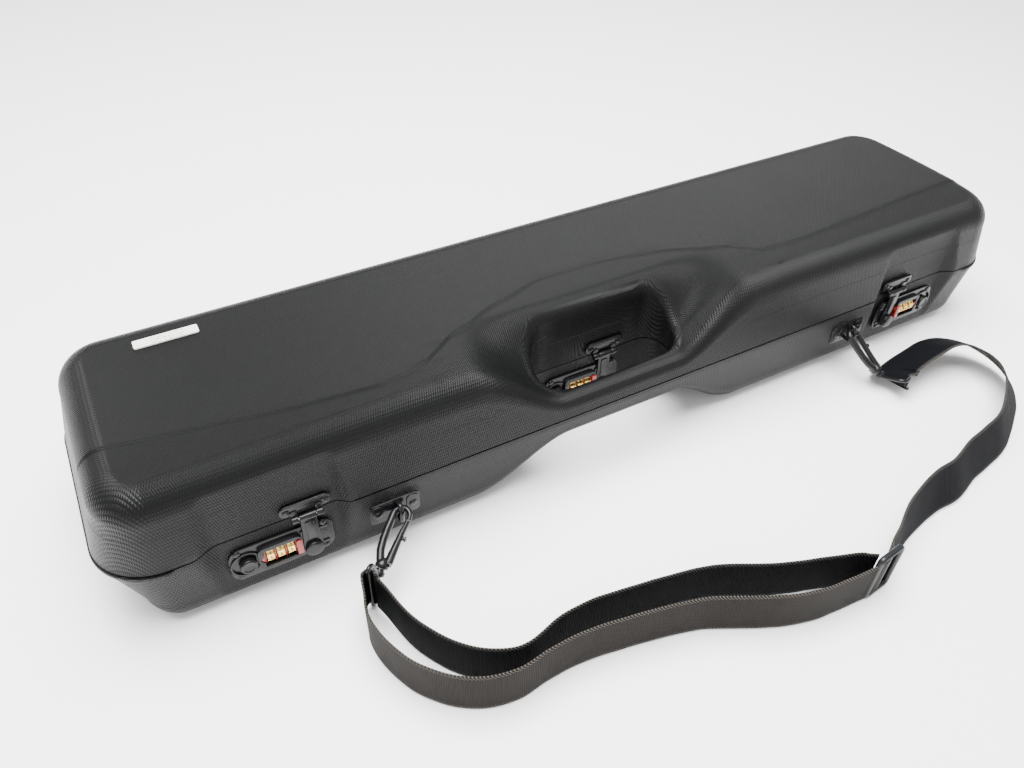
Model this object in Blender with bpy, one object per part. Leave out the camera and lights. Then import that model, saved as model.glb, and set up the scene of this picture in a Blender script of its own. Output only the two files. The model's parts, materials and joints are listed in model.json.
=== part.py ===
"""Moulded fly rod travel case with three combination latches and a shoulder strap.

The case lies flat, lid up. +X runs along its length, -Y is the side with the handle and the
latches, +Z is up and the base stands on Z = 0. Every length is in metres.
"""
import math

import bmesh
import bpy
from mathutils import Matrix, Vector

# ---------------------------------------------------------------- driving dimensions
HALF_LENGTH = 0.418
DEPTH = 0.196
FRONT = -0.0965
BACK = FRONT + DEPTH
CORNER = 0.042
PARTING = 0.065
BASE_HEIGHT = 0.065
LID_HEIGHT = 0.062
LID_CROWN = 0.0015
WALL = 0.003
RIM_GAP = 0.0005
TOUCH = 0.0003

LIP_OUT = 0.0012
LIP_TALL = 0.003
SHOULDER_ROUND = 0.021
GRIP_ROUND = 0.009
SIDE_DRAFT = 0.005
LID_END_DRAFT = 0.009
BASE_END_DRAFT = 0.017

GRIP_LID = 0.0155
GRIP_BASE = 0.021
TUNNEL_X = -0.0225
TUNNEL_Y = FRONT + 0.03825
TUNNEL_HALF = (0.0645, 0.01925)
TUNNEL_CORNER = 0.0165
TUNNEL_ROUND = 0.007
SCOOP_X = (0.050, 0.130)
SCOOP_Y = (FRONT + 0.026, FRONT + 0.072)

POCKET_DEPTH = 0.0067
POCKET_X = (0.252, 0.264, 0.345, 0.363)

LATCH_Z = 0.0387
SIDE_LATCH_X = 0.307
CENTRE_LATCH_X = -0.031
BRACKET_X = 0.2238
BRACKET_Z = 0.0435

HINGE_X = (-0.280, 0.0, 0.280)
HINGE_AXIS_OUT = 0.0048
KNUCKLE = 0.0032
PIN = 0.0015

WEBBING_WIDE = 0.038
WEBBING_THICK = 0.0016


# ---------------------------------------------------------------- small helpers
def clear_scene():
    """Start from an empty file."""
    for item in list(bpy.data.objects):
        bpy.data.objects.remove(item, do_unlink=True)


def smooth(low, high, value):
    """Smooth step from 0 at low to 1 at high."""
    t = min(max((value - low) / (high - low), 0.0), 1.0)
    return t * t * (3.0 - 2.0 * t)


def finish(name, colour, roughness, metallic):
    """Principled material for one kind of piece."""
    made = bpy.data.materials.get(name)
    if made:
        return made
    made = bpy.data.materials.new(name)
    made.use_nodes = True
    shader = made.node_tree.nodes["Principled BSDF"]
    shader.inputs["Base Color"].default_value = (*colour, 1.0)
    shader.inputs["Roughness"].default_value = roughness
    shader.inputs["Metallic"].default_value = metallic
    return made


def abs_shell():
    return finish("abs_shell", (0.035, 0.036, 0.038), 0.55, 0.0)


def black_metal():
    return finish("black_metal", (0.02, 0.02, 0.022), 0.25, 0.8)


def brass():
    return finish("brass_dial", (0.75, 0.56, 0.22), 0.3, 1.0)


def red_plastic():
    return finish("red_plastic", (0.55, 0.05, 0.04), 0.4, 0.0)


def steel():
    return finish("pin_steel", (0.5, 0.5, 0.52), 0.3, 1.0)


def foam():
    return finish("foam", (0.05, 0.05, 0.055), 0.95, 0.0)


def webbing():
    return finish("webbing", (0.16, 0.15, 0.14), 0.85, 0.0)


def paper():
    return finish("label_paper", (0.8, 0.79, 0.76), 0.7, 0.0)


def store(name, bm, material, origin=(0.0, 0.0, 0.0)):
    """Turn a bmesh in world coordinates into a named object with its origin at a point."""
    bmesh.ops.remove_doubles(bm, verts=bm.verts, dist=1e-6)
    bmesh.ops.recalc_face_normals(bm, faces=bm.faces)
    bmesh.ops.translate(bm, verts=bm.verts, vec=-Vector(origin))
    mesh = bpy.data.meshes.new(name)
    bm.to_mesh(mesh)
    bm.free()
    mesh.materials.append(material)
    made = bpy.data.objects.new(name, mesh)
    made.location = origin
    bpy.context.collection.objects.link(made)
    return made


def boolean(target, tool, operation):
    """Add or cut a helper solid, exactly, and take the helper away."""
    step = target.modifiers.new(operation.lower(), "BOOLEAN")
    step.operation = operation
    step.solver = "EXACT"
    step.object = tool
    bpy.context.view_layer.update()
    graph = bpy.context.evaluated_depsgraph_get()
    result = bpy.data.meshes.new_from_object(target.evaluated_get(graph))
    target.modifiers.clear()
    result.materials.clear()
    result.materials.append(target.data.materials[0])
    target.data = result
    bpy.data.objects.remove(tool, do_unlink=True)


def add_to(target, bm):
    boolean(target, store("helper", bm, target.data.materials[0]), "UNION")


def cut_from(target, bm):
    boolean(target, store("helper", bm, target.data.materials[0]), "DIFFERENCE")


def loft(levels):
    """Closed solid through outlines of equal length, each a list of 3D points."""
    bm = bmesh.new()
    rows = [[bm.verts.new(point) for point in level] for level in levels]
    count = len(rows[0])
    for lower, upper in zip(rows, rows[1:]):
        for k in range(count):
            n = (k + 1) % count
            bm.faces.new((lower[k], lower[n], upper[n], upper[k]))
    bm.faces.new(rows[0])
    bm.faces.new(rows[-1])
    return bm


def box(low, high):
    """Box between two corners."""
    floor = [(low[0], low[1]), (high[0], low[1]), (high[0], high[1]), (low[0], high[1])]
    return loft([[(x, y, z) for x, y in floor] for z in (low[2], high[2])])


def tube(start, end, radius, bore=0.0, sides=16):
    """Straight round bar between two points, hollow when it has a bore."""
    start, end = Vector(start), Vector(end)
    turn = (end - start).to_track_quat("Z", "Y").to_matrix()

    def ring(centre, r):
        steps = [2.0 * math.pi * k / sides for k in range(sides)]
        return [centre + turn @ Vector((r * math.cos(a), r * math.sin(a), 0.0)) for a in steps]

    if not bore:
        return loft([ring(start, radius), ring(end, radius)])
    bm = bmesh.new()
    loops = [ring(start, radius), ring(end, radius), ring(end, bore), ring(start, bore)]
    rows = [[bm.verts.new(point) for point in loop] for loop in loops]
    for i, row in enumerate(rows):
        above = rows[(i + 1) % 4]
        for k in range(sides):
            n = (k + 1) % sides
            bm.faces.new((row[k], row[n], above[n], above[k]))
    return bm


def rounded_rectangle(x0, x1, y0, y1, radius, steps=4):
    """Counter-clockwise outline of a rectangle with round corners."""
    points = []
    corners = (
        (x1 - radius, y0 + radius, -90.0),
        (x1 - radius, y1 - radius, 0.0),
        (x0 + radius, y1 - radius, 90.0),
        (x0 + radius, y0 + radius, 180.0),
    )
    for cx, cy, first in corners:
        for k in range(steps + 1):
            angle = math.radians(first + 90.0 * k / steps)
            points.append((cx + radius * math.cos(angle), cy + radius * math.sin(angle)))
    return points


# ---------------------------------------------------------------- the two shells
def outline_stations():
    """Points of the rim outline as (straight x, straight y, corner angle or None)."""
    half = HALF_LENGTH - CORNER
    near = [0.363, 0.354, 0.345, 0.300, 0.264, 0.258, 0.252, 0.200]
    grip = [0.16, 0.13, 0.108, 0.09, 0.072, 0.056, 0.04, 0.02]
    front = [-x for x in near] + [TUNNEL_X - x for x in grip] + [TUNNEL_X]
    front += [TUNNEL_X + x for x in reversed(grip)] + list(reversed(near))
    rear = [0.30, 0.20, 0.12, 0.06, 0.02]
    rear = rear + [-x for x in reversed(rear)]
    stations = [(x, FRONT, None) for x in front]
    stations += corner_stations(half, FRONT + CORNER, -90.0)
    stations += [(HALF_LENGTH, y, None) for y in (-0.028, 0.0, 0.028)]
    stations += corner_stations(half, BACK - CORNER, 0.0)
    stations += [(x, BACK, None) for x in rear]
    stations += corner_stations(-half, BACK - CORNER, 90.0)
    stations += [(-HALF_LENGTH, y, None) for y in (0.028, 0.0, -0.028)]
    stations += corner_stations(-half, FRONT + CORNER, 180.0)
    return stations


def corner_stations(cx, cy, first):
    steps = 4
    return [(cx, cy, math.radians(first + 90.0 * k / steps)) for k in range(steps + 1)]


def pocket(x):
    """How far the front wall is set back at x, for the side latches."""
    inner0, inner1, outer0, outer1 = POCKET_X
    return POCKET_DEPTH * smooth(inner0, inner1, abs(x)) * (1.0 - smooth(outer0, outer1, abs(x)))


def outline_point(station, inset_x, inset_y, skin):
    """Point of the outline moved inwards; skin is the wall taken off for the inner face."""
    x, y, angle = station
    if angle is not None:
        return (
            x + (CORNER - inset_x - skin) * math.cos(angle),
            y + (CORNER - inset_y - skin) * math.sin(angle),
        )
    if y == FRONT:
        return (x, FRONT + max(inset_y, pocket(x)) + skin)
    if y == BACK:
        return (x, BACK - inset_y - skin)
    side = math.copysign(1.0, x)
    return (side * (HALF_LENGTH - inset_x - skin), y)


def tunnel_point(phi, out):
    """Point of the handle tunnel's outline in direction phi, moved outwards."""
    a, b = TUNNEL_HALF[0] + out, TUNNEL_HALF[1] + out
    r = TUNNEL_CORNER + out
    c, s = abs(math.cos(phi)), abs(math.sin(phi))
    reach = min(a / max(c, 1e-9), b / max(s, 1e-9))
    x, y = reach * c, reach * s
    if x > a - r and y > b - r:
        p, q = a - r, b - r
        half = p * c + q * s
        reach = half + math.sqrt(max(half * half - p * p - q * q + r * r, 0.0))
        x, y = reach * c, reach * s
    return (
        TUNNEL_X + math.copysign(x, math.cos(phi)),
        TUNNEL_Y + math.copysign(y, math.sin(phi)),
    )


def fullness(x, y):
    """0 on the grip bar, 1 where the shell has its full height."""
    side = smooth(*SCOOP_X, abs(x - TUNNEL_X))
    rear = smooth(*SCOOP_Y, y)
    return 1.0 - (1.0 - side) * (1.0 - rear)


def skin_height(x, y, tall, crown):
    """Height of the outer face above the parting plane."""
    across = (y - (FRONT + BACK) / 2.0) / (DEPTH / 2.0 - SHOULDER_ROUND)
    bulge = crown * max(1.0 - across * across, 0.0)
    grip = GRIP_LID if crown else GRIP_BASE
    return grip + (tall - grip + bulge) * fullness(x, y)


def between(start, end, share):
    return (start[0] + (end[0] - start[0]) * share, start[1] + (end[1] - start[1]) * share)


def scoop_edge(start, end):
    """Share of the way to the tunnel at which the surface starts to dip towards the grip."""
    if fullness(start[0], start[1]) < 0.999:
        return 0.2
    low, high = 0.0, 1.0
    while high - low > 0.001:
        middle = (low + high) / 2.0
        if fullness(*between(start, end, middle)) > 0.9985:
            low = middle
        else:
            high = middle
    return min(low, 0.8)


def skin_rows(stations, skin, end_draft, tall, crown, lip):
    """Rows of points from the rim, over the top and down the tunnel."""
    rise = (0.0, 30.0, 60.0, 90.0) if not skin else (0.0, 45.0, 90.0)
    dips = (0.0, 0.28, 0.52, 0.76)
    full_wall = tall - SHOULDER_ROUND
    columns = []
    for station in stations:
        x, y = outline_point(station, 0.0, 0.0, 0.0)
        probe = outline_point(station, 0.012, 0.012, 0.0)
        full = fullness(*probe)
        radius = GRIP_ROUND + (SHOULDER_ROUND - GRIP_ROUND) * full
        inner = outline_point(station, end_draft + radius, SIDE_DRAFT + radius, 0.0)
        shoulder = skin_height(*inner, tall, crown) - radius
        share = shoulder / full_wall
        draft = (end_draft * share, SIDE_DRAFT * share)
        column = []
        if lip:
            column.append((*outline_point(station, -LIP_OUT, -LIP_OUT, skin), RIM_GAP))
            column.append((*outline_point(station, -LIP_OUT, -LIP_OUT, skin), RIM_GAP + LIP_TALL))
            column.append((*outline_point(station, 0.0, 0.0, skin), RIM_GAP + LIP_TALL))
        else:
            column.append((*outline_point(station, 0.0, 0.0, skin), RIM_GAP))
        for degrees in rise:
            a = math.radians(degrees)
            spread = (radius - skin) * (1.0 - math.cos(a))
            point = outline_point(station, draft[0] + spread, draft[1] + spread, skin)
            column.append((*point, shoulder + (radius - skin) * math.sin(a)))
        start = column[-1]
        phi = math.atan2(y - TUNNEL_Y, x - TUNNEL_X)
        edge = tunnel_point(phi, TUNNEL_ROUND)
        flat = scoop_edge(start, edge)
        for dip in dips:
            px, py = between(start, edge, flat + (1.0 - flat) * dip)
            column.append((px, py, skin_height(px, py, tall, crown) - skin))
        crest = skin_height(*edge, tall, crown) - skin
        inner_round = TUNNEL_ROUND - skin
        for degrees in rise:
            b = math.radians(degrees)
            point = tunnel_point(phi, skin + inner_round * (1.0 - math.sin(b)))
            column.append((*point, crest - inner_round * (1.0 - math.cos(b))))
        column.append((*tunnel_point(phi, skin), RIM_GAP))
        columns.append(column)
    return columns


def half_shell(name, side, end_draft, tall, crown, lip):
    """One moulded half: side is +1 for the lid and -1 for the base."""
    stations = outline_stations()
    outer = skin_rows(stations, 0.0, end_draft, tall, crown, lip)
    inner = skin_rows(stations, WALL, end_draft, tall, crown, False)
    bm = bmesh.new()
    grid = []
    for out_column, in_column in zip(outer, inner):
        points = out_column + list(reversed(in_column))
        grid.append([bm.verts.new((x, y, PARTING + side * h)) for x, y, h in points])
    rows = len(grid[0])
    for j, column in enumerate(grid):
        following = grid[(j + 1) % len(grid)]
        for i in range(rows):
            n = (i + 1) % rows
            bm.faces.new((column[i], following[i], following[n], column[n]))
    return store(name, bm, abs_shell())


# ---------------------------------------------------------------- foam liners
FOAM_SIDE = 0.0135
FOAM_END = 0.0185
FOAM_FRONT = 0.0170
NOTCH_HALF = 0.128
NOTCH_BACK = FRONT + 0.0785
LINER_INNER_END = 0.378


def foam_outline(inset):
    """U-shaped outline that leaves the handle tunnel free."""
    x = HALF_LENGTH - FOAM_END - inset
    front, back = FRONT + FOAM_FRONT + inset, BACK - FOAM_SIDE - inset
    left, right = TUNNEL_X - NOTCH_HALF - inset, TUNNEL_X + NOTCH_HALF + inset
    notch = NOTCH_BACK + inset
    bevel = 0.022
    return [
        (-x + bevel, front), (left, front), (left, notch), (right, notch), (right, front),
        (x - bevel, front), (x, front + bevel), (x, back - bevel), (x - bevel, back),
        (-x + bevel, back), (-x, back - bevel), (-x, front + bevel),
    ]


def foam_block(name, levels):
    """Foam solid through levels of (height, inset)."""
    return store(name, loft([[(x, y, z) for x, y in foam_outline(i)] for z, i in levels]), foam())


def foam_part(name, outline):
    """The part of the base liner inside a flat outline."""
    block = foam_block(name, ((0.0046, 0.019), (0.026, 0.0045), (0.0625, 0.0)))
    outline_solid = loft([[(x, y, z) for x, y in outline] for z in (-0.010, 0.080)])
    boolean(block, store("helper", outline_solid, foam()), "INTERSECT")
    return block


def foam_rail(name, low, high):
    """Rail of the base liner between two distances behind the front."""
    end = LINER_INNER_END
    foam_part(name, [(-end, FRONT + low), (end, FRONT + low), (end, FRONT + high), (-end, FRONT + high)])


def foam_liners():
    foam_rail("foam_rear_rail", 0.166, 0.200)
    foam_rail("foam_middle_rail", 0.122, 0.132)
    foam_rail("foam_front_rail", 0.080, 0.088)
    far, near = 0.450, LINER_INNER_END + TOUCH
    rail, wall, back = FRONT + 0.034, FRONT + 0.0797, FRONT + 0.250
    front = FRONT - 0.010
    foam_part("foam_left_block", [
        (-far, front), (-0.100, front), (-0.100, wall), (-0.168, wall), (-0.168, rail),
        (-near, rail), (-near, back), (-far, back),
    ])
    foam_part("foam_right_block", [
        (0.060, front), (far, front), (far, back), (near, back), (near, rail), (0.128, rail),
        (0.128, wall), (0.060, wall),
    ])
    foam_block("lid_foam", ((0.1050, 0.0065), (0.1140, 0.0125), (0.1225, 0.021)))


# ---------------------------------------------------------------- hinges
def hinge_leaf(name, place, side, knuckles):
    """One leaf: a comb-shaped plate with a wedge pad behind it and rolled knuckles."""
    x = HINGE_X[0]
    axis_y, axis_z = BACK + HINGE_AXIS_OUT, PARTING
    near, far = BACK + TOUCH + 0.0012, BACK + TOUCH + 0.0028
    toe, foot, head = 0.0020, 0.0042, 0.0200
    half, reach = 0.0260, 0.0266
    spans = []
    for k in knuckles:
        start = x - half + 2.0 * half * k / 5.0
        spans.append((start + TOUCH / 2.0, start + 2.0 * half / 5.0 - TOUCH / 2.0))
    comb = [(x - reach, head), (x - reach, foot)]
    for start, end in spans:
        comb += [(start, foot), (start, toe), (end, toe), (end, foot)]
    comb += [(x + reach, foot), (x + reach, head)]
    plate = loft([[(px, y, axis_z + side * h) for px, h in comb] for y in (near, far)])
    leaf = store(name, plate, black_metal())
    wedge = ((near + 0.0004, foot + 0.0004), (near + 0.0004, head - 0.0004),
             (BACK - 0.0019, head - 0.0004), (BACK, foot + 0.0004))
    ends = (x - reach + 0.0004, x + reach - 0.0004)
    add_to(leaf, loft([[(px, y, axis_z + side * h) for y, h in wedge] for px in ends]))
    for start, end in spans:
        add_to(leaf, tube((start, axis_y, axis_z), (end, axis_y, axis_z), KNUCKLE, 0.0, 14))
    ends = ((x - 0.03, axis_y, axis_z), (x + 0.03, axis_y, axis_z))
    cut_from(leaf, tube(*ends, PIN + TOUCH, 0.0, 12))
    for dx in (-0.018, 0.0, 0.018):
        z = axis_z + side * 0.0135
        rivet = tube((x + dx, far - 0.0008, z), (x + dx, far + 0.0009, z), 0.0026, 0.0, 9)
        add_to(leaf, rivet)
    leaf.data.transform(Matrix.Translation((place - x, 0.0, 0.0)))
    return leaf


def hinge_set(lid, index, x):
    """Two leaves and a pin on the back wall, at one place along the case."""
    axis_y, axis_z = BACK + HINGE_AXIS_OUT, PARTING
    pin = tube((x - 0.026, axis_y, axis_z), (x + 0.026, axis_y, axis_z), PIN, 0.0, 12)
    store(f"hinge_{index}_pin", pin, steel())
    hinge_leaf(f"hinge_{index}_base_leaf", x, -1.0, (0, 2, 4))
    leaf = hinge_leaf(f"hinge_{index}_lid_leaf", x, 1.0, (1, 3))
    leaf.parent = lid
    leaf.matrix_parent_inverse = lid.matrix_world.inverted()


# ---------------------------------------------------------------- latches
class LatchPlace:
    """Local frame of one latch: u along the case, v up, w out of the wall."""

    def __init__(self, x, face_y, hand):
        self.x, self.face_y, self.hand = x, face_y, hand

    def at(self, u, w, v):
        return Vector((self.x + self.hand * u, self.face_y - w, LATCH_Z + v))

    def slab(self, outline, w0, w1):
        return loft([[self.at(u, w, v) for u, v in outline] for w in (w0, w1)])

    def block(self, u0, u1, v0, v1, w0, w1):
        return self.slab([(u0, v0), (u1, v0), (u1, v1), (u0, v1)], w0, w1)

    def bar(self, u0, u1, w, v, radius, bore=0.0, sides=12):
        return tube(self.at(u0, w, v), self.at(u1, w, v), radius, bore, sides)

    def stud(self, u, v, w0, w1, radius, sides=12):
        return tube(self.at(u, w0, v), self.at(u, w1, v), radius, 0.0, sides)


PLATE_U = (-0.0345, 0.0385)
PLATE_HALF_V = 0.0150
PLATE_W = (0.0003, 0.0019)
HOUSING_U = (-0.0158, 0.0150)
HOUSING_HALF_V = 0.0112
HOUSING_W = 0.0052
BODY_W = -0.0092
DIAL_PITCH = 0.0073
DIAL_HALF = 0.0027
DIAL_RADIUS = 0.0066
DIAL_W = -0.0009
BUTTON_U = -0.0228
BUTTON_RADIUS = 0.0062
BUTTON_TRAVEL = 0.005
HASP_U = 0.0226
HASP_V = 0.0258
HASP_W = 0.0034
TONGUE_W = (0.0023, 0.0041)
BOSS_V = -0.0075


def window_outline(grow):
    """Arrow-ended window round the dials."""
    u0, u1, v = -0.0116, 0.0134, 0.0073
    return [
        (u0 - grow, -v - grow), (u1 + grow, -v - grow), (u1 + grow, v + grow),
        (u0 - grow, v + grow), (u0 - grow, 0.0036), (u0 - 0.0028 - grow, 0.0), (u0 - grow, -0.0036),
    ]


def lock_plate(name, place):
    outline = rounded_rectangle(PLATE_U[0], PLATE_U[1], -PLATE_HALF_V, PLATE_HALF_V, 0.008, 3)
    plate = store(f"{name}_lock_plate", place.slab(outline, *PLATE_W), black_metal())
    housing = rounded_rectangle(*HOUSING_U, -HOUSING_HALF_V, HOUSING_HALF_V, 0.002, 2)
    add_to(plate, place.slab(housing, 0.001, HOUSING_W))
    add_to(plate, place.block(-0.0134, 0.0136, -0.0088, 0.0088, BODY_W, 0.001))
    cut_from(plate, place.block(-0.0120, 0.0120, -0.0076, 0.0076, BODY_W + 0.0012, 0.0030))
    cut_from(plate, place.slab(window_outline(TOUCH), 0.002, 0.008))
    slot = BUTTON_U - BUTTON_TRAVEL - 0.0024
    cut_from(plate, place.block(slot, BUTTON_U + 0.0024, -0.0020, 0.0020, -0.002, 0.004))
    for u in (-0.0283, 0.0318):
        for v in (-0.0119, 0.0119):
            add_to(plate, place.stud(u, v, 0.001, 0.0029, 0.0022, 10))
    return plate


def dial_insert(name, place):
    slab = place.slab(window_outline(0.0), 0.0023, 0.0046)
    insert = store(f"{name}_window_insert", slab, red_plastic())
    for k in (-1, 0, 1):
        u = k * DIAL_PITCH
        half = DIAL_HALF + 0.0003
        cut_from(insert, place.block(u - half, u + half, -0.0062, 0.0062, 0.001, 0.006))
    return insert


def dial(name, place, k):
    u = (k - 2) * DIAL_PITCH
    bm = place.bar(u - DIAL_HALF, u + DIAL_HALF, DIAL_W, 0.0, DIAL_RADIUS, 0.0019, 20)
    return store(f"{name}_dial_{k}", bm, brass(), place.at(u, DIAL_W, 0.0))


def slide_button(name, place):
    centre = place.at(BUTTON_U, 0.004, 0.0)
    cap = place.stud(BUTTON_U, 0.0, 0.0022, 0.0056, BUTTON_RADIUS, 20)
    button = store(f"{name}_slide_button", cap, black_metal())
    half = 0.0020
    stem = place.block(BUTTON_U - half, BUTTON_U + half, -0.0016, 0.0016, 0.0006, 0.003)
    add_to(button, stem)
    button.data.transform(Matrix.Translation(-centre))
    button.location = centre
    return button


def hasp_bracket(name, place):
    """Plate riveted to the lid, with an ear on each side of the tongue's barrel."""
    ears = ((HASP_U - 0.0110, HASP_U - 0.0063), (HASP_U + 0.0063, HASP_U + 0.0110))
    foot, toe = HASP_V + 0.0035, HASP_V + 0.0009
    u0, u1, top, bevel = 0.0044, 0.0408, 0.0390, 0.0035
    outline = [(u0 + bevel, foot)]
    for left, right in ears:
        outline += [(left, foot), (left, toe), (right, toe), (right, foot)]
    outline += [
        (u1 - bevel, foot), (u1, foot + bevel), (u1, top - bevel), (u1 - bevel, top),
        (u0 + bevel, top), (u0, top - bevel), (u0, foot + bevel),
    ]
    bracket = store(f"{name}_hasp_bracket", place.slab(outline, 0.0003, 0.0018), black_metal())
    for left, right in ears:
        add_to(bracket, place.bar(left + 0.0001, right - 0.0001, HASP_W, HASP_V, 0.0026))
    cut_from(bracket, place.bar(HASP_U - 0.02, HASP_U + 0.02, HASP_W, HASP_V, 0.0014))
    for u in (0.0091, 0.0361):
        add_to(bracket, place.stud(u, 0.0336, 0.001, 0.0029, 0.0023, 9))
    return bracket


def hasp_tongue(name, place):
    outline = [
        (HASP_U - 0.0059, HASP_V), (HASP_U - 0.0062, HASP_V - 0.012),
        (HASP_U - 0.0068, BOSS_V + 0.004), (HASP_U - 0.0070, BOSS_V),
        (HASP_U - 0.0050, BOSS_V - 0.0050), (HASP_U, BOSS_V - 0.0070),
        (HASP_U + 0.0050, BOSS_V - 0.0050), (HASP_U + 0.0070, BOSS_V),
        (HASP_U + 0.0068, BOSS_V + 0.004), (HASP_U + 0.0062, HASP_V - 0.012),
        (HASP_U + 0.0059, HASP_V),
    ]
    tongue = store(f"{name}_hasp_tongue", place.slab(outline, *TONGUE_W), black_metal())
    add_to(tongue, place.bar(HASP_U - 0.0060, HASP_U + 0.0060, HASP_W, HASP_V, 0.0025))
    cut_from(tongue, place.bar(HASP_U - 0.02, HASP_U + 0.02, HASP_W, HASP_V, 0.0014))
    add_to(tongue, place.stud(HASP_U, BOSS_V, 0.003, 0.0066, 0.0068, 20))
    axis = place.at(HASP_U, HASP_W, HASP_V)
    tongue.data.transform(Matrix.Translation(-axis))
    tongue.location = axis
    return tongue


def latch(name, place, lid):
    """Lock plate with dials and button on the base, and the hasp that hangs from the lid."""
    lock_plate(name, place)
    dial_insert(name, place)
    for k in (1, 2, 3):
        dial(name, place, k)
    spindle = place.bar(-0.0116, 0.0116, DIAL_W, 0.0, 0.0016, 0.0, 10)
    store(f"{name}_dial_spindle", spindle, steel())
    slide_button(name, place)
    pin = place.bar(HASP_U - 0.0110, HASP_U + 0.0110, HASP_W, HASP_V, 0.0011, 0.0, 10)
    on_lid = [
        hasp_bracket(name, place),
        hasp_tongue(name, place),
        store(f"{name}_hasp_pin", pin, steel()),
    ]
    for piece in on_lid:
        piece.parent = lid
        piece.matrix_parent_inverse = lid.matrix_world.inverted()


def latch_openings(base):
    """Holes in the base wall for the three lock bodies."""
    for place in latch_places():
        cut_from(base, place.block(-0.0146, 0.0148, -0.0094, 0.0094, -0.016, 0.003))


def latch_places():
    side_face = FRONT + POCKET_DEPTH
    tunnel_face = TUNNEL_Y + TUNNEL_HALF[1]
    return (
        LatchPlace(-SIDE_LATCH_X, side_face, 1.0),
        LatchPlace(CENTRE_LATCH_X, tunnel_face, 1.0),
        LatchPlace(SIDE_LATCH_X, side_face, -1.0),
    )


# ---------------------------------------------------------------- strap hardware
BAR_OUT = 0.0098
BAR_SLACK = 0.0010
STUD_REACH = 0.0442
RING_REACH = 0.0115
RING_HALF = 0.0208
LEFT_BAR = Vector((-0.2220, FRONT - BAR_OUT, 0.0435))
RIGHT_BAR = Vector((0.2240, FRONT - BAR_OUT, 0.0435))
LEFT_PULL = Vector((-0.0351, -0.0305, -0.0209))
RIGHT_PULL = Vector((0.0120, -0.0372, -0.0310))
LEFT_RING = (Vector((0.755, 0.656, 0.0)), Vector((0.0, 0.0, 1.0)))
RIGHT_RING = (Vector((-0.93, 0.30, 0.20)), Vector((-0.15, -0.87, 0.46)))


def strap_bracket(name, bar):
    x, face = bar.x, FRONT - TOUCH
    low, high = BRACKET_Z - 0.0095, BRACKET_Z + 0.0095
    centre = math.copysign(BRACKET_X, x)
    outline = rounded_rectangle(centre - 0.0192, centre + 0.0192, low, high, 0.003, 2)
    plate = loft([[(px, y, z) for px, z in outline] for y in (face - 0.0016, face)])
    bracket = store(name, plate, black_metal())
    for z in (low + 0.0018, high - 0.0018):
        add_to(bracket, tube((x, face - 0.0008, z), (x, bar.y - 0.0016, z), 0.0016, 0.0, 10))
    add_to(bracket, tube((x, bar.y, low + 0.0004), (x, bar.y, high - 0.0004), 0.0016, 0.0, 10))
    for side in (-1.0, 1.0):
        px = centre + side * 0.0138
        rivet = tube((px, face - 0.001, BRACKET_Z), (px, face - 0.0030, BRACKET_Z), 0.0030, 0.0, 12)
        add_to(bracket, rivet)
    return bracket


class HookFrame:
    """Frame of a snap hook: p along it towards the bracket bar, q across, n through it."""

    def __init__(self, bar, pull, ring):
        self.pivot = bar
        self.along = -pull.normalized()
        self.centre = bar - self.along * BAR_SLACK
        upright = Vector((0.0, 0.0, 1.0))
        self.normal = (upright - upright.dot(self.along) * self.along).normalized()
        self.across = self.along.cross(self.normal)
        self.stud_end = self.centre - self.along * STUD_REACH
        self.ring_way = ring[0].normalized()
        self.wide = (ring[1] - ring[1].dot(self.ring_way) * self.ring_way).normalized()
        self.deep = self.ring_way.cross(self.wide)

    def at(self, q, p, n):
        return self.centre + self.across * q + self.along * p + self.normal * n

    def slab(self, outline, thick):
        return loft([[self.at(q, p, n) for q, p in outline] for n in (-thick, thick)])

    def ring_slab(self, outline, thick):
        """Prism in the plane of the ring: outline of (along the bar, towards the stud)."""
        levels = []
        for d in (-thick, thick):
            base = self.stud_end + self.deep * d
            levels.append([base + self.wide * w + self.ring_way * p for w, p in outline])
        return loft(levels)


def snap_hook(name, frame):
    outer, inner = 0.0076, 0.0048
    outline = [(-0.0062, -0.0390), (0.0062, -0.0390), (0.0066, -0.0350), (-0.0030, -0.0345)]
    outline += [(-inner, -0.010)]
    outline += [(-inner * math.cos(a), inner * math.sin(a)) for a in arc_steps(0.0, 180.0, 6)]
    outline += [(inner, -0.0020), (outer - 0.0006, -0.0020)]
    outline += [(outer * math.cos(a), outer * math.sin(a)) for a in arc_steps(0.0, 180.0, 8)]
    outline += [(-outer, -0.012)]
    return store(name, frame.slab(outline, 0.0018), black_metal(), frame.pivot)


def arc_steps(first, last, steps):
    return [math.radians(first + (last - first) * k / steps) for k in range(steps + 1)]


def hook_gate(name, frame):
    outline = rounded_rectangle(0.0045, 0.0075, -0.0344, -0.0024, 0.0012, 2)
    pivot = frame.at(0.0060, -0.0328, 0.0)
    return store(name, frame.slab(outline, 0.0015), steel(), pivot)


def swivel_eye(name, frame):
    """Swivel stud with the flat loop that the webbing goes round."""
    stud = tube(frame.at(0.0, -0.0394, 0.0), frame.at(0.0, -STUD_REACH, 0.0), 0.0038, 0.0, 12)
    eye = store(name, stud, black_metal(), frame.at(0.0, -0.0394, 0.0))
    bar, thick, neck = -RING_REACH, 0.0017, 0.0046
    shape = [
        (-RING_HALF - thick, bar - thick), (RING_HALF + thick, bar - thick),
        (RING_HALF + thick, bar + 0.0062), (neck, 0.0012), (-neck, 0.0012),
        (-RING_HALF - thick, bar + 0.0062),
    ]
    inner = RING_HALF - thick
    hole = [
        (-inner, bar + thick), (inner, bar + thick),
        (inner, bar + 0.0046), (0.0030, -0.0030), (-0.0030, -0.0030), (-inner, bar + 0.0046),
    ]
    add_to(eye, frame.ring_slab(shape, thick))
    cut_from(eye, frame.ring_slab(hole, 0.004))
    return eye


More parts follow.
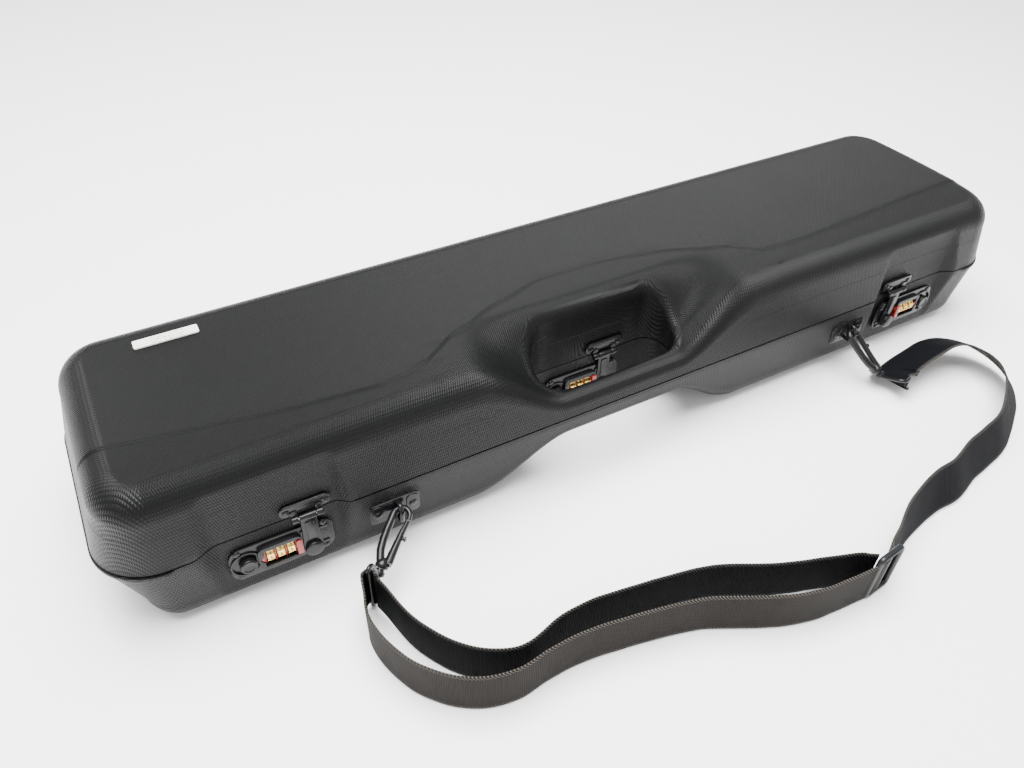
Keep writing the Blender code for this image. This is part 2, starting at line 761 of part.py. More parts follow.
# ---------------------------------------------------------------- shoulder strap
# Centre line of the webbing: x, distance in front of the case, height of the centre, and how
# far its upper edge leans to the left of the way it runs, in degrees from upright.
LEFT_ROUTE = (
    (-0.2668, 0.0452, 0.0234, 0), (-0.2695, 0.0560, 0.0222, 0), (-0.2730, 0.0700, 0.0206, 0),
    (-0.2715, 0.0880, 0.0200, 0), (-0.2625, 0.1130, 0.0200, 0), (-0.2470, 0.1330, 0.0200, 0),
    (-0.2280, 0.1460, 0.0200, 0), (-0.2050, 0.1515, 0.0200, 0), (-0.1800, 0.1490, 0.0200, 0),
    (-0.1550, 0.1490, 0.0200, 0), (-0.1280, 0.1530, 0.0200, 0), (-0.0980, 0.1590, 0.0200, 0),
    (-0.0690, 0.1670, 0.0200, 0), (-0.0450, 0.1790, 0.0200, 0), (-0.0200, 0.1910, 0.0200, 0),
    (0.0050, 0.1985, 0.0200, 0), (0.0280, 0.2010, 0.0200, 0), (0.0480, 0.2025, 0.0200, 0),
)
RETURN_ROUTE = (
    (-0.2582, 0.0482, 0.0232, 0), (-0.2550, 0.0600, 0.0220, 0), (-0.2500, 0.0820, 0.0205, 0),
    (-0.2405, 0.1030, 0.0200, 0), (-0.2265, 0.1220, 0.0200, 0), (-0.2080, 0.1350, 0.0200, 0),
    (-0.1900, 0.1385, 0.0200, 0), (-0.1640, 0.1320, 0.0200, 0), (-0.1390, 0.1310, 0.0200, 0),
    (-0.1170, 0.1340, 0.0200, 0), (-0.0870, 0.1390, 0.0200, 0), (-0.0570, 0.1455, 0.0200, 0),
    (-0.0380, 0.1530, 0.0200, 0), (-0.0200, 0.1625, 0.0200, 0), (-0.0010, 0.1710, 0.0200, 0),
    (0.0220, 0.1790, 0.0200, 0), (0.0470, 0.1880, 0.0200, 0),
)
RIGHT_ROUTE = (
    (0.0790, 0.1920, 0.0200, 4), (0.0950, 0.1860, 0.0200, 8), (0.1160, 0.1770, 0.0200, 14),
    (0.1400, 0.1700, 0.0198, 18), (0.1630, 0.1655, 0.0196, 22), (0.1880, 0.1640, 0.0194, 25),
    (0.2150, 0.1560, 0.0194, 25), (0.2400, 0.1515, 0.0194, 25), (0.2680, 0.1450, 0.0194, 25),
    (0.3000, 0.1280, 0.0190, 28), (0.3250, 0.1100, 0.0186, 34), (0.3390, 0.0900, 0.0190, 42),
    (0.3410, 0.0720, 0.0210, 50), (0.3340, 0.0560, 0.0240, 57), (0.3200, 0.0465, 0.0265, 61),
    (0.3040, 0.0430, 0.0265, 63), (0.2880, 0.0430, 0.0235, 63), (0.2730, 0.0430, 0.0195, 63),
    (0.2600, 0.0440, 0.0160, 63), (0.2550, 0.0458, 0.0148, 63),
)


def catmull(points, steps):
    """Smooth curve through all points, with steps pieces between neighbours."""
    padded = [points[0]] + list(points) + [points[-1]]
    curve = []
    for a, b, c, d in zip(padded, padded[1:], padded[2:], padded[3:]):
        for k in range(steps):
            t = k / steps
            curve.append(tuple(
                0.5 * (2 * q + (r - p) * t + (2 * p - 5 * q + 4 * r - s) * t * t
                       + (3 * q - p - 3 * r + s) * t ** 3)
                for p, q, r, s in zip(a, b, c, d)
            ))
    curve.append(points[-1])
    return curve


def webbing_run(name, route, steps=2):
    """Flat webbing swept along a route."""
    curve = catmull([(x, FRONT - y, z, lean) for x, y, z, lean in route], steps)
    centres = [Vector(point[:3]) for point in curve]
    levels = []
    for k, point in enumerate(curve):
        ahead = centres[min(k + 1, len(curve) - 1)] - centres[max(k - 1, 0)]
        ahead.normalize()
        left = Vector((-ahead.y, ahead.x, 0.0)).normalized()
        lean = math.radians(point[3])
        wide = left * math.sin(lean) + Vector((0.0, 0.0, math.cos(lean)))
        wide = (wide - wide.dot(ahead) * ahead).normalized() * WEBBING_WIDE / 2.0
        thick = ahead.cross(wide).normalized() * WEBBING_THICK / 2.0
        middle = centres[k]
        levels.append([
            middle - wide - thick, middle + wide - thick,
            middle + wide + thick, middle - wide + thick,
        ])
    return store(name, loft(levels), webbing())


def strap_slider(name):
    """Three-bar slider that stands on its long edge."""
    low, high = (0.0515, FRONT - 0.2035, 0.0010), (0.0755, FRONT - 0.1905, 0.0450)
    angle = math.radians(20.0)
    centre = Vector(((low[0] + high[0]) / 2.0, (low[1] + high[1]) / 2.0, 0.0))
    half_long, half_thick = 0.0115, 0.0016
    slider = store(name, box((-half_long, -half_thick, low[2]), (half_long, half_thick, high[2])),
                   black_metal())
    for x0 in (-0.0089, 0.0015):
        cut_from(slider, box((x0, -0.01, low[2] + 0.0030), (x0 + 0.0074, 0.01, high[2] - 0.0030)))
    slider.data.transform(Matrix.Translation(centre) @ Matrix.Rotation(angle, 4, "Z"))
    return slider


# ---------------------------------------------------------------- assembly
def build():
    clear_scene()
    lid = bpy.data.objects.new("lid_axis", None)
    lid.location = (0.0, BACK + HINGE_AXIS_OUT, PARTING)
    bpy.context.collection.objects.link(lid)
    bpy.context.view_layer.update()

    lid_shell = half_shell("lid_shell", 1.0, LID_END_DRAFT, LID_HEIGHT, LID_CROWN, False)
    base_shell = half_shell("base_shell", -1.0, BASE_END_DRAFT, BASE_HEIGHT, 0.0, True)
    latch_openings(base_shell)
    foam_liners()

    label_low = (-0.353, FRONT + 0.1515, PARTING + LID_HEIGHT + LID_CROWN + TOUCH)
    label_high = (-0.307, FRONT + 0.1610, label_low[2] + 0.0003)
    label = store("blank_label", box(label_low, label_high), paper())

    for piece in (lid_shell, bpy.data.objects["lid_foam"], label):
        piece.parent = lid
        piece.matrix_parent_inverse = lid.matrix_world.inverted()

    for index, x in enumerate(HINGE_X, start=1):
        hinge_set(lid, index, x)
    for name, place in zip(("left", "centre", "right"), latch_places()):
        latch(name, place, lid)

    sides = (
        ("left", LEFT_BAR, LEFT_PULL, LEFT_RING),
        ("right", RIGHT_BAR, RIGHT_PULL, RIGHT_RING),
    )
    for name, bar, pull, ring in sides:
        frame = HookFrame(bar, pull, ring)
        strap_bracket(f"{name}_strap_bracket", bar)
        snap_hook(f"{name}_snap_hook", frame)
        hook_gate(f"{name}_hook_gate", frame)
        swivel_eye(f"{name}_swivel_eye", frame)

    webbing_run("strap_left_run", LEFT_ROUTE)
    webbing_run("strap_return_run", RETURN_ROUTE)
    webbing_run("strap_right_run", RIGHT_ROUTE)
    strap_slider("strap_slider")


build()
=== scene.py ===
"""Looks of a moulded rod travel case: shells, latches, strap, foam and the studio round it."""
import json
import logging
import math
from dataclasses import dataclass, field
from enum import Enum
from typing import Callable, Iterable, Sequence

import bmesh
import bpy
from mathutils import Matrix, Vector


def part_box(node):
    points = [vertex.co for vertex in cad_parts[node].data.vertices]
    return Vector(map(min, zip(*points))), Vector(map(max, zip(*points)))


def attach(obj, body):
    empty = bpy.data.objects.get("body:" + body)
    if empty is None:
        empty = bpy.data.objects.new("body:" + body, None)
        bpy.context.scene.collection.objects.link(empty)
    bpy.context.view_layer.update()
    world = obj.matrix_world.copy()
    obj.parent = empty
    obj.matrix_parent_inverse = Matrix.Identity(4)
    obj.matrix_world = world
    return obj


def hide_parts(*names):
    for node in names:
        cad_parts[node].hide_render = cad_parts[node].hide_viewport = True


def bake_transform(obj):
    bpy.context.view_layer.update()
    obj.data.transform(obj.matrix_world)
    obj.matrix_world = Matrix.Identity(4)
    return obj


LOG = logging.getLogger("rod_case")

Point = tuple[float, float, float]
Flat = tuple[float, float]

# Webbing: spacing of its yarns, of the teeth on its edge cord, and the width of that cord.
YARN_PITCH = 0.0011
TOOTH_PITCH = 0.0024
EDGE_WIDTH = 0.0026
WEB_EDGE_TAPER = 0.0006
# Row of plain bars on the label, and where the bars start and stop.
LABEL_ROW = 0.0030
LABEL_BARS = (0.012, 0.037)
# Each wheel has ten flats.
DIGITS = 10
FLAT_ANGLE = 36.0
UP = Vector((0.0, 0.0, 1.0))
ALONG_CASE = Vector((1.0, 0.0, 0.0))
OUT_OF_FRONT = Vector((0.0, -1.0, 0.0))


# ---------------------------------------------------------------- small maths
def smooth_step(low: float, high: float, value: float) -> float:
    """Ease from 0 at low to 1 at high.

    Args:
        low: Value that gives 0.
        high: Value that gives 1.
        value: Value to place between them.

    Returns:
        The eased share between 0 and 1.
    """
    share = min(max((value - low) / (high - low), 0.0), 1.0)
    return share * share * (3.0 - 2.0 * share)


def blend_flat(start: Flat, end: Flat, share: float) -> Flat:
    """Point part of the way between two flat points.

    Args:
        start: First point.
        end: Second point.
        share: 0 at the first, 1 at the second.

    Returns:
        The point between them.
    """
    return (start[0] + (end[0] - start[0]) * share, start[1] + (end[1] - start[1]) * share)


def arc_angles(first: float, last: float, steps: int) -> list[float]:
    """Evenly spaced angles.

    Args:
        first: First angle in degrees.
        last: Last angle in degrees.
        steps: Number of spaces between them.

    Returns:
        The angles in radians.
    """
    return [math.radians(first + (last - first) * k / steps) for k in range(steps + 1)]


def rounded_rectangle(low: Flat, high: Flat, radius: float, steps: int = 8) -> list[Flat]:
    """Counter-clockwise outline of a rectangle with round corners.

    Args:
        low: Lower left corner.
        high: Upper right corner.
        radius: Corner radius.
        steps: Pieces in each corner.

    Returns:
        The outline's points.
    """
    corners = (
        (high[0] - radius, low[1] + radius, -90.0),
        (high[0] - radius, high[1] - radius, 0.0),
        (low[0] + radius, high[1] - radius, 90.0),
        (low[0] + radius, low[1] + radius, 180.0),
    )
    return [
        (cx + radius * math.cos(a), cy + radius * math.sin(a))
        for cx, cy, first in corners
        for a in arc_angles(first, first + 90.0, steps)
    ]


def smooth_route(points: Sequence[Sequence[float]], steps: int) -> list[tuple[float, ...]]:
    """Smooth curve through every given point.

    Args:
        points: Points of any number of values.
        steps: Pieces between neighbours.

    Returns:
        The denser list of points.
    """
    padded = [points[0], *points, points[-1]]
    curve: list[tuple[float, ...]] = []
    for a, b, c, d in zip(padded, padded[1:], padded[2:], padded[3:]):
        for k in range(steps):
            t = k / steps
            curve.append(tuple(
                0.5 * (2 * q + (r - p) * t + (2 * p - 5 * q + 4 * r - s) * t * t
                       + (3 * q - p - 3 * r + s) * t ** 3)
                for p, q, r, s in zip(a, b, c, d)
            ))
    curve.append(tuple(points[-1]))
    return curve


# ---------------------------------------------------------------- meshes
def place_mesh(name: str, mesh: bpy.types.Mesh, material: bpy.types.Material,
               sharp: float = 35.0) -> bpy.types.Object:
    """Link a finished mesh as an object at the origin.

    Args:
        name: Name of the piece.
        mesh: Its mesh, in the row frame.
        material: Its finish, unless the mesh has its own.
        sharp: Edges sharper than this many degrees stay crisp.

    Returns:
        The new object.
    """
    if not mesh.materials:
        mesh.materials.append(material)
    for polygon in mesh.polygons:
        polygon.use_smooth = True
    mesh.set_sharp_from_angle(angle=math.radians(sharp))
    made = bpy.data.objects.new(name, mesh)
    bpy.context.collection.objects.link(made)
    return made


def settle(made: bpy.types.Object) -> bpy.types.Object:
    """Replace an object's modifiers by the mesh they make.

    Args:
        made: Object with live modifiers.

    Returns:
        The same object with a plain mesh.
    """
    bpy.context.view_layer.update()
    graph = bpy.context.evaluated_depsgraph_get()
    result = bpy.data.meshes.new_from_object(made.evaluated_get(graph))
    made.modifiers.clear()
    made.data = result
    return made


def soften_edges(made: bpy.types.Object, width: float, segments: int = 2,
                 angle: float = 32.0) -> bpy.types.Object:
    """Round an object's sharp edges.

    Args:
        made: The object.
        width: Width of the rounding.
        segments: Faces across it.
        angle: Edges flatter than this many degrees are left.

    Returns:
        The same object with a plain mesh.
    """
    bevel = made.modifiers.new("edge_rounding", "BEVEL")
    bevel.width = width
    bevel.segments = segments
    bevel.limit_method = "ANGLE"
    bevel.angle_limit = math.radians(angle)
    bevel.harden_normals = False
    settle(made)
    for polygon in made.data.polygons:
        polygon.use_smooth = True
    made.data.set_sharp_from_angle(angle=math.radians(50.0))
    return made


def carry(made: bpy.types.Object, body: str, slot: str, *nodes: str) -> None:
    """Put a piece on its body, in place of its CAD nodes.

    Args:
        made: The piece.
        body: Body that it rides on.
        slot: Material slot of the record; not used.
        *nodes: CAD nodes that it stands for.
    """
    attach(made, body)
    if nodes:
        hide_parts(*nodes)


class SolidSet:
    """Closed solids collected into one mesh."""

    def __init__(self) -> None:
        """Start with no solids."""
        self.bm = bmesh.new()

    def loft(self, levels: Sequence[Sequence[Vector]]) -> None:
        """Add a closed solid through outlines of equal length.

        Args:
            levels: The outlines from one end to the other.
        """
        rows = [[self.bm.verts.new(point) for point in level] for level in levels]
        count = len(rows[0])
        for lower, upper in zip(rows, rows[1:]):
            for k in range(count):
                n = (k + 1) % count
                self.bm.faces.new((lower[k], lower[n], upper[n], upper[k]))
        self.bm.faces.new(rows[0])
        self.bm.faces.new(rows[-1])

    def band(self, loops: Sequence[Sequence[Vector]]) -> None:
        """Add a closed ring through loops of equal length, the last joined to the first.

        Args:
            loops: The loops in order.
        """
        rows = [[self.bm.verts.new(point) for point in loop] for loop in loops]
        for row, above in zip(rows, rows[1:] + rows[:1]):
            for k in range(len(row)):
                n = (k + 1) % len(row)
                self.bm.faces.new((row[k], row[n], above[n], above[k]))

    def tube(self, start: Vector, end: Vector, radius: float, sides: int = 32) -> None:
        """Add a straight round bar.

        Args:
            start: Centre of one end.
            end: Centre of the other end.
            radius: Its radius.
            sides: Number of sides.
        """
        turn = (end - start).to_track_quat("Z", "Y").to_matrix()
        circle = [turn @ Vector((radius * math.cos(a), radius * math.sin(a), 0.0))
                  for a in (2.0 * math.pi * k / sides for k in range(sides))]
        self.loft([[centre + point for point in circle] for centre in (start, end)])

    def turned(self, start: Vector, axis: Vector, profile: Sequence[Flat], sides: int = 36) -> None:
        """Add a turned solid.

        Args:
            start: Point on the axis.
            axis: Unit vector along it.
            profile: (distance along the axis, radius) from end to end, closed by flat caps.
            sides: Number of sides.
        """
        turn = axis.to_track_quat("Z", "Y").to_matrix()
        steps = [2.0 * math.pi * k / sides for k in range(sides)]
        self.loft([
            [start + axis * h + turn @ Vector((r * math.cos(a), r * math.sin(a), 0.0)) for a in steps]
            for h, r in profile
        ])

    def swept(self, path: Sequence[Vector], side: Vector, half: Callable[[float], Flat],
              sides: int = 14, closed: bool = False) -> None:
        """Add an oval bar along a path.

        Args:
            path: Points of the centre line.
            side: Direction that the second half size is measured along.
            half: Gives both half sizes for a share of the path.
            sides: Points round the bar.
            closed: Whether the path is a loop.
        """
        rows = []
        count = len(path)
        for k, point in enumerate(path):
            before = path[k - 1] if (k or closed) else path[k]
            after = path[(k + 1) % count] if (k + 1 < count or closed) else path[k]
            ahead = (after - before).normalized()
            lateral = (side - side.dot(ahead) * ahead).normalized()
            across = ahead.cross(lateral)
            a, b = half(k / max(count - 1, 1))
            rows.append([
                self.bm.verts.new(point + across * (a * math.cos(t)) + lateral * (b * math.sin(t)))
                for t in (2.0 * math.pi * i / sides for i in range(sides))
            ])
        pairs = list(zip(rows, rows[1:])) + ([(rows[-1], rows[0])] if closed else [])
        for lower, upper in pairs:
            for i in range(sides):
                n = (i + 1) % sides
                self.bm.faces.new((lower[i], lower[n], upper[n], upper[i]))
        if not closed:
            self.bm.faces.new(rows[0])
            self.bm.faces.new(rows[-1])

    def finish(self, name: str, material: bpy.types.Material, rounding: float = 0.0,
               segments: int = 2) -> bpy.types.Object:
        """Make the collected solids an object.

        Args:
            name: Name of the piece.
            material: Its finish.
            rounding: Width of the rounding on its sharp edges.
            segments: Faces across the rounding.

        Returns:
            The new object.
        """
        bmesh.ops.recalc_face_normals(self.bm, faces=self.bm.faces)
        mesh = bpy.data.meshes.new(name)
        self.bm.to_mesh(mesh)
        self.bm.free()
        made = place_mesh(name, mesh, material)
        if rounding:
            soften_edges(made, rounding, segments)
        return made


# ---------------------------------------------------------------- material nodes
class Graph:
    """Short way to add and join nodes."""

    def __init__(self, tree: bpy.types.NodeTree) -> None:
        """Work on one node tree."""
        self.tree = tree

    def add(self, kind: str, inputs: dict | None = None, **settings: object) -> bpy.types.Node:
        """Add a node.

        Args:
            kind: Node type.
            inputs: Socket name or number to a value or a socket.
            **settings: Properties of the node.

        Returns:
            The new node.
        """
        node = self.tree.nodes.new(kind)
        for key, value in settings.items():
            setattr(node, key, value)
        for key, value in (inputs or {}).items():
            if isinstance(value, bpy.types.NodeSocket):
                self.tree.links.new(value, node.inputs[key])
            else:
                node.inputs[key].default_value = value
        return node

    def maths(self, operation: str, *values: object, clamp: bool = False) -> bpy.types.NodeSocket:
        """Add a Math node.

        Args:
            operation: Its operation.
            *values: Numbers or sockets.
            clamp: Whether the result is kept between 0 and 1.

        Returns:
            Its output.
        """
        node = self.add("ShaderNodeMath", dict(enumerate(values)), operation=operation)
        node.use_clamp = clamp
        return node.outputs[0]

    def step(self, value: object, low: float, high: float) -> bpy.types.NodeSocket:
        """Ease from 0 to 1 between two values.

        Args:
            value: Number or socket.
            low: Where the result is 0.
            high: Where it is 1.

        Returns:
            The eased output.
        """
        node = self.add(
            "ShaderNodeMapRange",
            {"Value": value, "From Min": low, "From Max": high},
            interpolation_type="SMOOTHSTEP",
        )
        return node.outputs["Result"]

    def tint(self, share: object, dark: Sequence[float], light: Sequence[float]) -> bpy.types.NodeSocket:
        """Mix two colours.

        Args:
            share: 0 for the first, 1 for the second.
            dark: First colour.
            light: Second colour.

        Returns:
            The colour output.
        """
        node = self.add("ShaderNodeMix", data_type="RGBA")
        self.tree.links.new(share, node.inputs["Factor"])
        for socket, colour in ((node.inputs[6], dark), (node.inputs[7], light)):
            socket.default_value = (*colour, 1.0)
        return node.outputs[2]

    def overlay(self, share: object, base: object, colour: Point) -> bpy.types.NodeSocket:
        """Lay a plain colour over another one.

        Args:
            share: How much of the plain colour shows.
            base: The colour below.
            colour: The plain colour.

        Returns:
            The colour output.
        """
        node = self.add("ShaderNodeMix", data_type="RGBA")
        self.tree.links.new(share, node.inputs["Factor"])
        self.tree.links.new(base, node.inputs[6])
        node.inputs[7].default_value = (*colour, 1.0)
        return node.outputs[2]

    def relief(self, shader: bpy.types.Node, height: object, strength: float, distance: float) -> None:
        """Give a shader a bump.

        Args:
            shader: The shader.
            height: Height output.
            strength: Strength of the bump.
            distance: Height that 1 stands for, in metres.
        """
        bump = self.add("ShaderNodeBump", {"Height": height, "Strength": strength, "Distance": distance})
        self.tree.links.new(bump.outputs[0], shader.inputs["Normal"])


def cell_wave(graph: Graph, value: object, pitch: object) -> bpy.types.NodeSocket:
    """Wave between 0 and 0.5 that repeats at a pitch.

    Args:
        graph: The graph that it is added to.
        value: Distance along the pattern.
        pitch: Length of one repeat.

    Returns:
        The wave's output.
    """
    return graph.maths("PINGPONG", graph.maths("DIVIDE", value, pitch), 0.5)


def effect_group(name: str, inputs: dict[str, tuple[str, float]],
                 outputs: dict[str, str]) -> tuple[bpy.types.NodeTree, Graph, bpy.types.Node, bpy.types.Node]:
    """Start a shader node group.

    Args:
        name: Name of the group.
        inputs: Name to (socket type, default).
        outputs: Name to socket type.

    Returns:
        The group, its graph, its input node and its output node.
    """
    group = bpy.data.node_groups.new(name, "ShaderNodeTree")
    for key, (kind, value) in inputs.items():
        socket = group.interface.new_socket(key, in_out="INPUT", socket_type=kind)
        if kind == "NodeSocketFloat":
            socket.default_value = value
    for key, kind in outputs.items():
        group.interface.new_socket(key, in_out="OUTPUT", socket_type=kind)
    graph = Graph(group)
    return group, graph, graph.add("NodeGroupInput"), graph.add("NodeGroupOutput")


def diamond_emboss_group() -> bpy.types.NodeTree:
    """Height of rows of small pyramids rolled into sheet plastic.

    Returns:
        The node group.
    """
    group, graph, source, sink = effect_group(
        "Diamond emboss",
        {"Vector": ("NodeSocketVector", 0.0), "Pitch": ("NodeSocketFloat", 0.0016)},
        {"Height": "NodeSocketFloat"},
    )
    split = graph.add("ShaderNodeSeparateXYZ", {0: source.outputs["Vector"]})
    waves = []
    for sign in ("ADD", "SUBTRACT"):
        diagonal = graph.maths(sign, split.outputs[0], split.outputs[1])
        waves.append(cell_wave(graph, diagonal, source.outputs["Pitch"]))
    height = graph.maths("MULTIPLY", graph.maths("MINIMUM", *waves), 2.0)
    group.links.new(height, sink.inputs["Height"])
    return group


def woven_rib_group() -> bpy.types.NodeTree:
    """Ribs, threads and edge cord of heavy webbing, with a painted highlight where ribs and yarns rise.

    Returns:
        The node group.
    """
    group, graph, source, sink = effect_group(
        "Woven ribs",
        {"Vector": ("NodeSocketVector", 0.0), "Rib": ("NodeSocketFloat", 0.0015),
         "Half width": ("NodeSocketFloat", 0.019)},
        {"Height": "NodeSocketFloat", "Painted rib highlight": "NodeSocketFloat", "Edge": "NodeSocketFloat"},
    )
    split = graph.add("ShaderNodeSeparateXYZ", {0: source.outputs["Vector"]})
    along, across = split.outputs[0], split.outputs[1]
    rib = graph.maths("MULTIPLY", cell_wave(graph, along, source.outputs["Rib"]), 2.0)
    yarn = cell_wave(graph, across, YARN_PITCH)
    tooth = cell_wave(graph, graph.maths("ADD", along, across), TOOTH_PITCH)
    inner = graph.maths("SUBTRACT", source.outputs["Half width"], EDGE_WIDTH)
    edge = graph.maths("GREATER_THAN", graph.maths("ABSOLUTE", across), inner)
    height = graph.maths("ADD", rib, graph.maths("MULTIPLY", yarn, 0.7))
    group.links.new(height, sink.inputs["Height"])
    # Painted highlight: the product of rib and yarn heights, lighter on the raised weave.
    group.links.new(graph.maths("MULTIPLY", rib, yarn), sink.inputs["Painted rib highlight"])
    group.links.new(graph.maths("MULTIPLY", edge, tooth), sink.inputs["Edge"])
    return group


def fine_grain_group() -> bpy.types.NodeTree:
    """Two sizes of even grain for handling marks and cast skins.

    Returns:
        The node group.
    """
    group, graph, source, sink = effect_group(
        "Fine grain",
        {"Vector": ("NodeSocketVector", 0.0), "Coarse": ("NodeSocketFloat", 12.0),
         "Fine": ("NodeSocketFloat", 900.0)},
        {"Patches": "NodeSocketFloat", "Grain": "NodeSocketFloat"},
    )
    for scale, output in (("Coarse", "Patches"), ("Fine", "Grain")):
        noise = graph.add(
            "ShaderNodeTexNoise",
            {"Vector": source.outputs["Vector"], "Scale": source.outputs[scale], "Detail": 3.0},
        )
        group.links.new(noise.outputs[0], sink.inputs[output])
    return group


class Effects:
    """The shared node groups, made once."""

    def __init__(self) -> None:
        """Build each group."""
        self.emboss = diamond_emboss_group()
        self.ribs = woven_rib_group()
        self.grain = fine_grain_group()


@dataclass(frozen=True)
class Finish:
    """One finish: its plain values, and the grain on it."""

    name: str
    dark: Point
    light: Point
    roughness: float
    spread: float
    metallic: float = 0.0
    coat: float = 0.0
    coarse: float = 14.0
    fine: float = 900.0
    bump: float = 0.0
    specular: float = 0.5

    def start(self, effects: Effects) -> tuple[bpy.types.Material, Graph, bpy.types.Node, bpy.types.Node]:
        """Make the material with its plain values and its grain.

        Args:
            effects: The shared node groups.

        Returns:
            The material, its graph, its shader and the grain node.
        """
        made = bpy.data.materials.new(self.name)
        made.use_nodes = True
        graph = Graph(made.node_tree)
        shader = made.node_tree.nodes["Principled BSDF"]
        shader.inputs["Metallic"].default_value = self.metallic
        shader.inputs["Coat Weight"].default_value = self.coat
        shader.inputs["Coat Roughness"].default_value = 0.12
        shader.inputs["Specular IOR Level"].default_value = self.specular
        place = graph.add("ShaderNodeTexCoord").outputs["Object"]
        grain = graph.add("ShaderNodeGroup", node_tree=effects.grain)
        made.node_tree.links.new(place, grain.inputs["Vector"])
        grain.inputs["Coarse"].default_value = self.coarse
        grain.inputs["Fine"].default_value = self.fine
        return made, graph, shader, grain

    def rough_patches(self, graph: Graph, shader: bpy.types.Node, grain: bpy.types.Node) -> None:
        """Vary the roughness in patches.

        Args:
            graph: The material's graph.
            shader: Its shader.
            grain: Its grain node.
        """
        spread = graph.maths("SUBTRACT", grain.outputs["Patches"], 0.5)
        rough = graph.maths("MULTIPLY_ADD", spread, self.spread, self.roughness)
        graph.tree.links.new(rough, shader.inputs["Roughness"])

    def build(self, effects: Effects) -> bpy.types.Material:
        """Make the finish with patches of tone and a fine bump.

        Args:
            effects: The shared node groups.

        Returns:
            The material.
        """
        made, graph, shader, grain = self.start(effects)
        self.rough_patches(graph, shader, grain)
        tone = graph.tint(grain.outputs["Patches"], self.dark, self.light)
        made.node_tree.links.new(tone, shader.inputs["Base Color"])
        if self.bump:
            graph.relief(shader, grain.outputs["Grain"], 0.6, self.bump)
        return made


@dataclass(frozen=True)
class ShellFinish(Finish):
    """Embossed sheet plastic, with the step that runs along the lid; its emboss peaks are coloured lighter as
    a painted highlight.
    """

    pitch: float = 0.0017
    emboss: float = 0.00035
    step: float = 0.0020

    def build(self, effects: Effects) -> bpy.types.Material:
        """Make the embossed finish.

        Args:
            effects: The shared node groups.

        Returns:
            The material.
        """
        made, graph, shader, grain = self.start(effects)
        self.rough_patches(graph, shader, grain)
        sheet = graph.add("ShaderNodeUVMap", uv_map="sheet").outputs[0]
        emboss = graph.add("ShaderNodeGroup", node_tree=effects.emboss)
        made.node_tree.links.new(sheet, emboss.inputs["Vector"])
        emboss.inputs["Pitch"].default_value = self.pitch
        height = emboss.outputs["Height"]
        # Painted highlight: tone follows the emboss height, so the pyramid tops are lighter; a quarter is
        # random tone from the grain patches.
        tone = graph.maths("MULTIPLY_ADD", height, 0.75, graph.maths(
            "MULTIPLY", grain.outputs["Patches"], 0.25))
        made.node_tree.links.new(graph.tint(tone, self.dark, self.light), shader.inputs["Base Color"])
        crease = graph.add("ShaderNodeAttribute", attribute_name="crease").outputs["Fac"]
        rise = graph.step(crease, -0.0022, 0.0022)
        lift = graph.maths("MULTIPLY_ADD", rise, self.step, graph.maths(
            "MULTIPLY", height, self.emboss))
        graph.relief(shader, lift, 1.0, 1.0)
        return made


@dataclass(frozen=True)
class WebbingFinish(Finish):
    """Ribbed webbing with its edge cord, its raised weave lightened as a painted highlight."""

    edge: Point = (0.075, 0.068, 0.060)
    relief: float = 0.00035

    def build(self, effects: Effects) -> bpy.types.Material:
        """Make the woven finish.

        Args:
            effects: The shared node groups.

        Returns:
            The material.
        """
        made, graph, shader, grain = self.start(effects)
        self.rough_patches(graph, shader, grain)
        weave = graph.add("ShaderNodeGroup", node_tree=effects.ribs)
        place = graph.add("ShaderNodeUVMap", uv_map="cloth").outputs[0]
        made.node_tree.links.new(place, weave.inputs["Vector"])
        # Painted highlight: the raised weave is tinted lighter; a little random tone comes from the fine
        # grain.
        tone = graph.maths("MULTIPLY_ADD", weave.outputs["Painted rib highlight"], 1.3, graph.maths(
            "MULTIPLY", grain.outputs["Grain"], 0.3))
        base = graph.tint(tone, self.dark, self.light)
        corded = graph.overlay(graph.step(weave.outputs["Edge"], 0.22, 0.42), base, self.edge)
        made.node_tree.links.new(corded, shader.inputs["Base Color"])
        graph.relief(shader, weave.outputs["Height"], 0.9, self.relief)
        shader.inputs["Specular IOR Level"].default_value = 0.10
        return made


@dataclass(frozen=True)
class LabelFinish(Finish):
    """Paper label with a few plain printed bars."""

    ink: Point = (0.05, 0.05, 0.05)

    def build(self, effects: Effects) -> bpy.types.Material:
        """Make the printed paper.

        Args:
            effects: The shared node groups.

        Returns:
            The material.
        """
        made, graph, shader, grain = self.start(effects)
        self.rough_patches(graph, shader, grain)
        place = graph.add("ShaderNodeUVMap", uv_map="label").outputs[0]
        split = graph.add("ShaderNodeSeparateXYZ", {0: place})
        along, across = split.outputs[0], split.outputs[1]
        rows = graph.maths("GREATER_THAN", cell_wave(graph, across, LABEL_ROW), 0.30)
        noise = graph.add("ShaderNodeTexNoise", {"Vector": place, "Scale": 900.0, "Detail": 0.0})
        dashes = graph.maths("GREATER_THAN", noise.outputs[0], 0.52)
        left = graph.maths("GREATER_THAN", along, LABEL_BARS[0])
        right = graph.maths("LESS_THAN", along, LABEL_BARS[1])
        ink = graph.maths("MULTIPLY", graph.maths("MULTIPLY", rows, dashes), graph.maths(
            "MULTIPLY", left, right))
        paper = graph.tint(grain.outputs["Patches"], self.dark, self.light)
        printed = graph.overlay(graph.maths("MULTIPLY", ink, 0.8), paper, self.ink)
        made.node_tree.links.new(printed, shader.inputs["Base Color"])
        return made


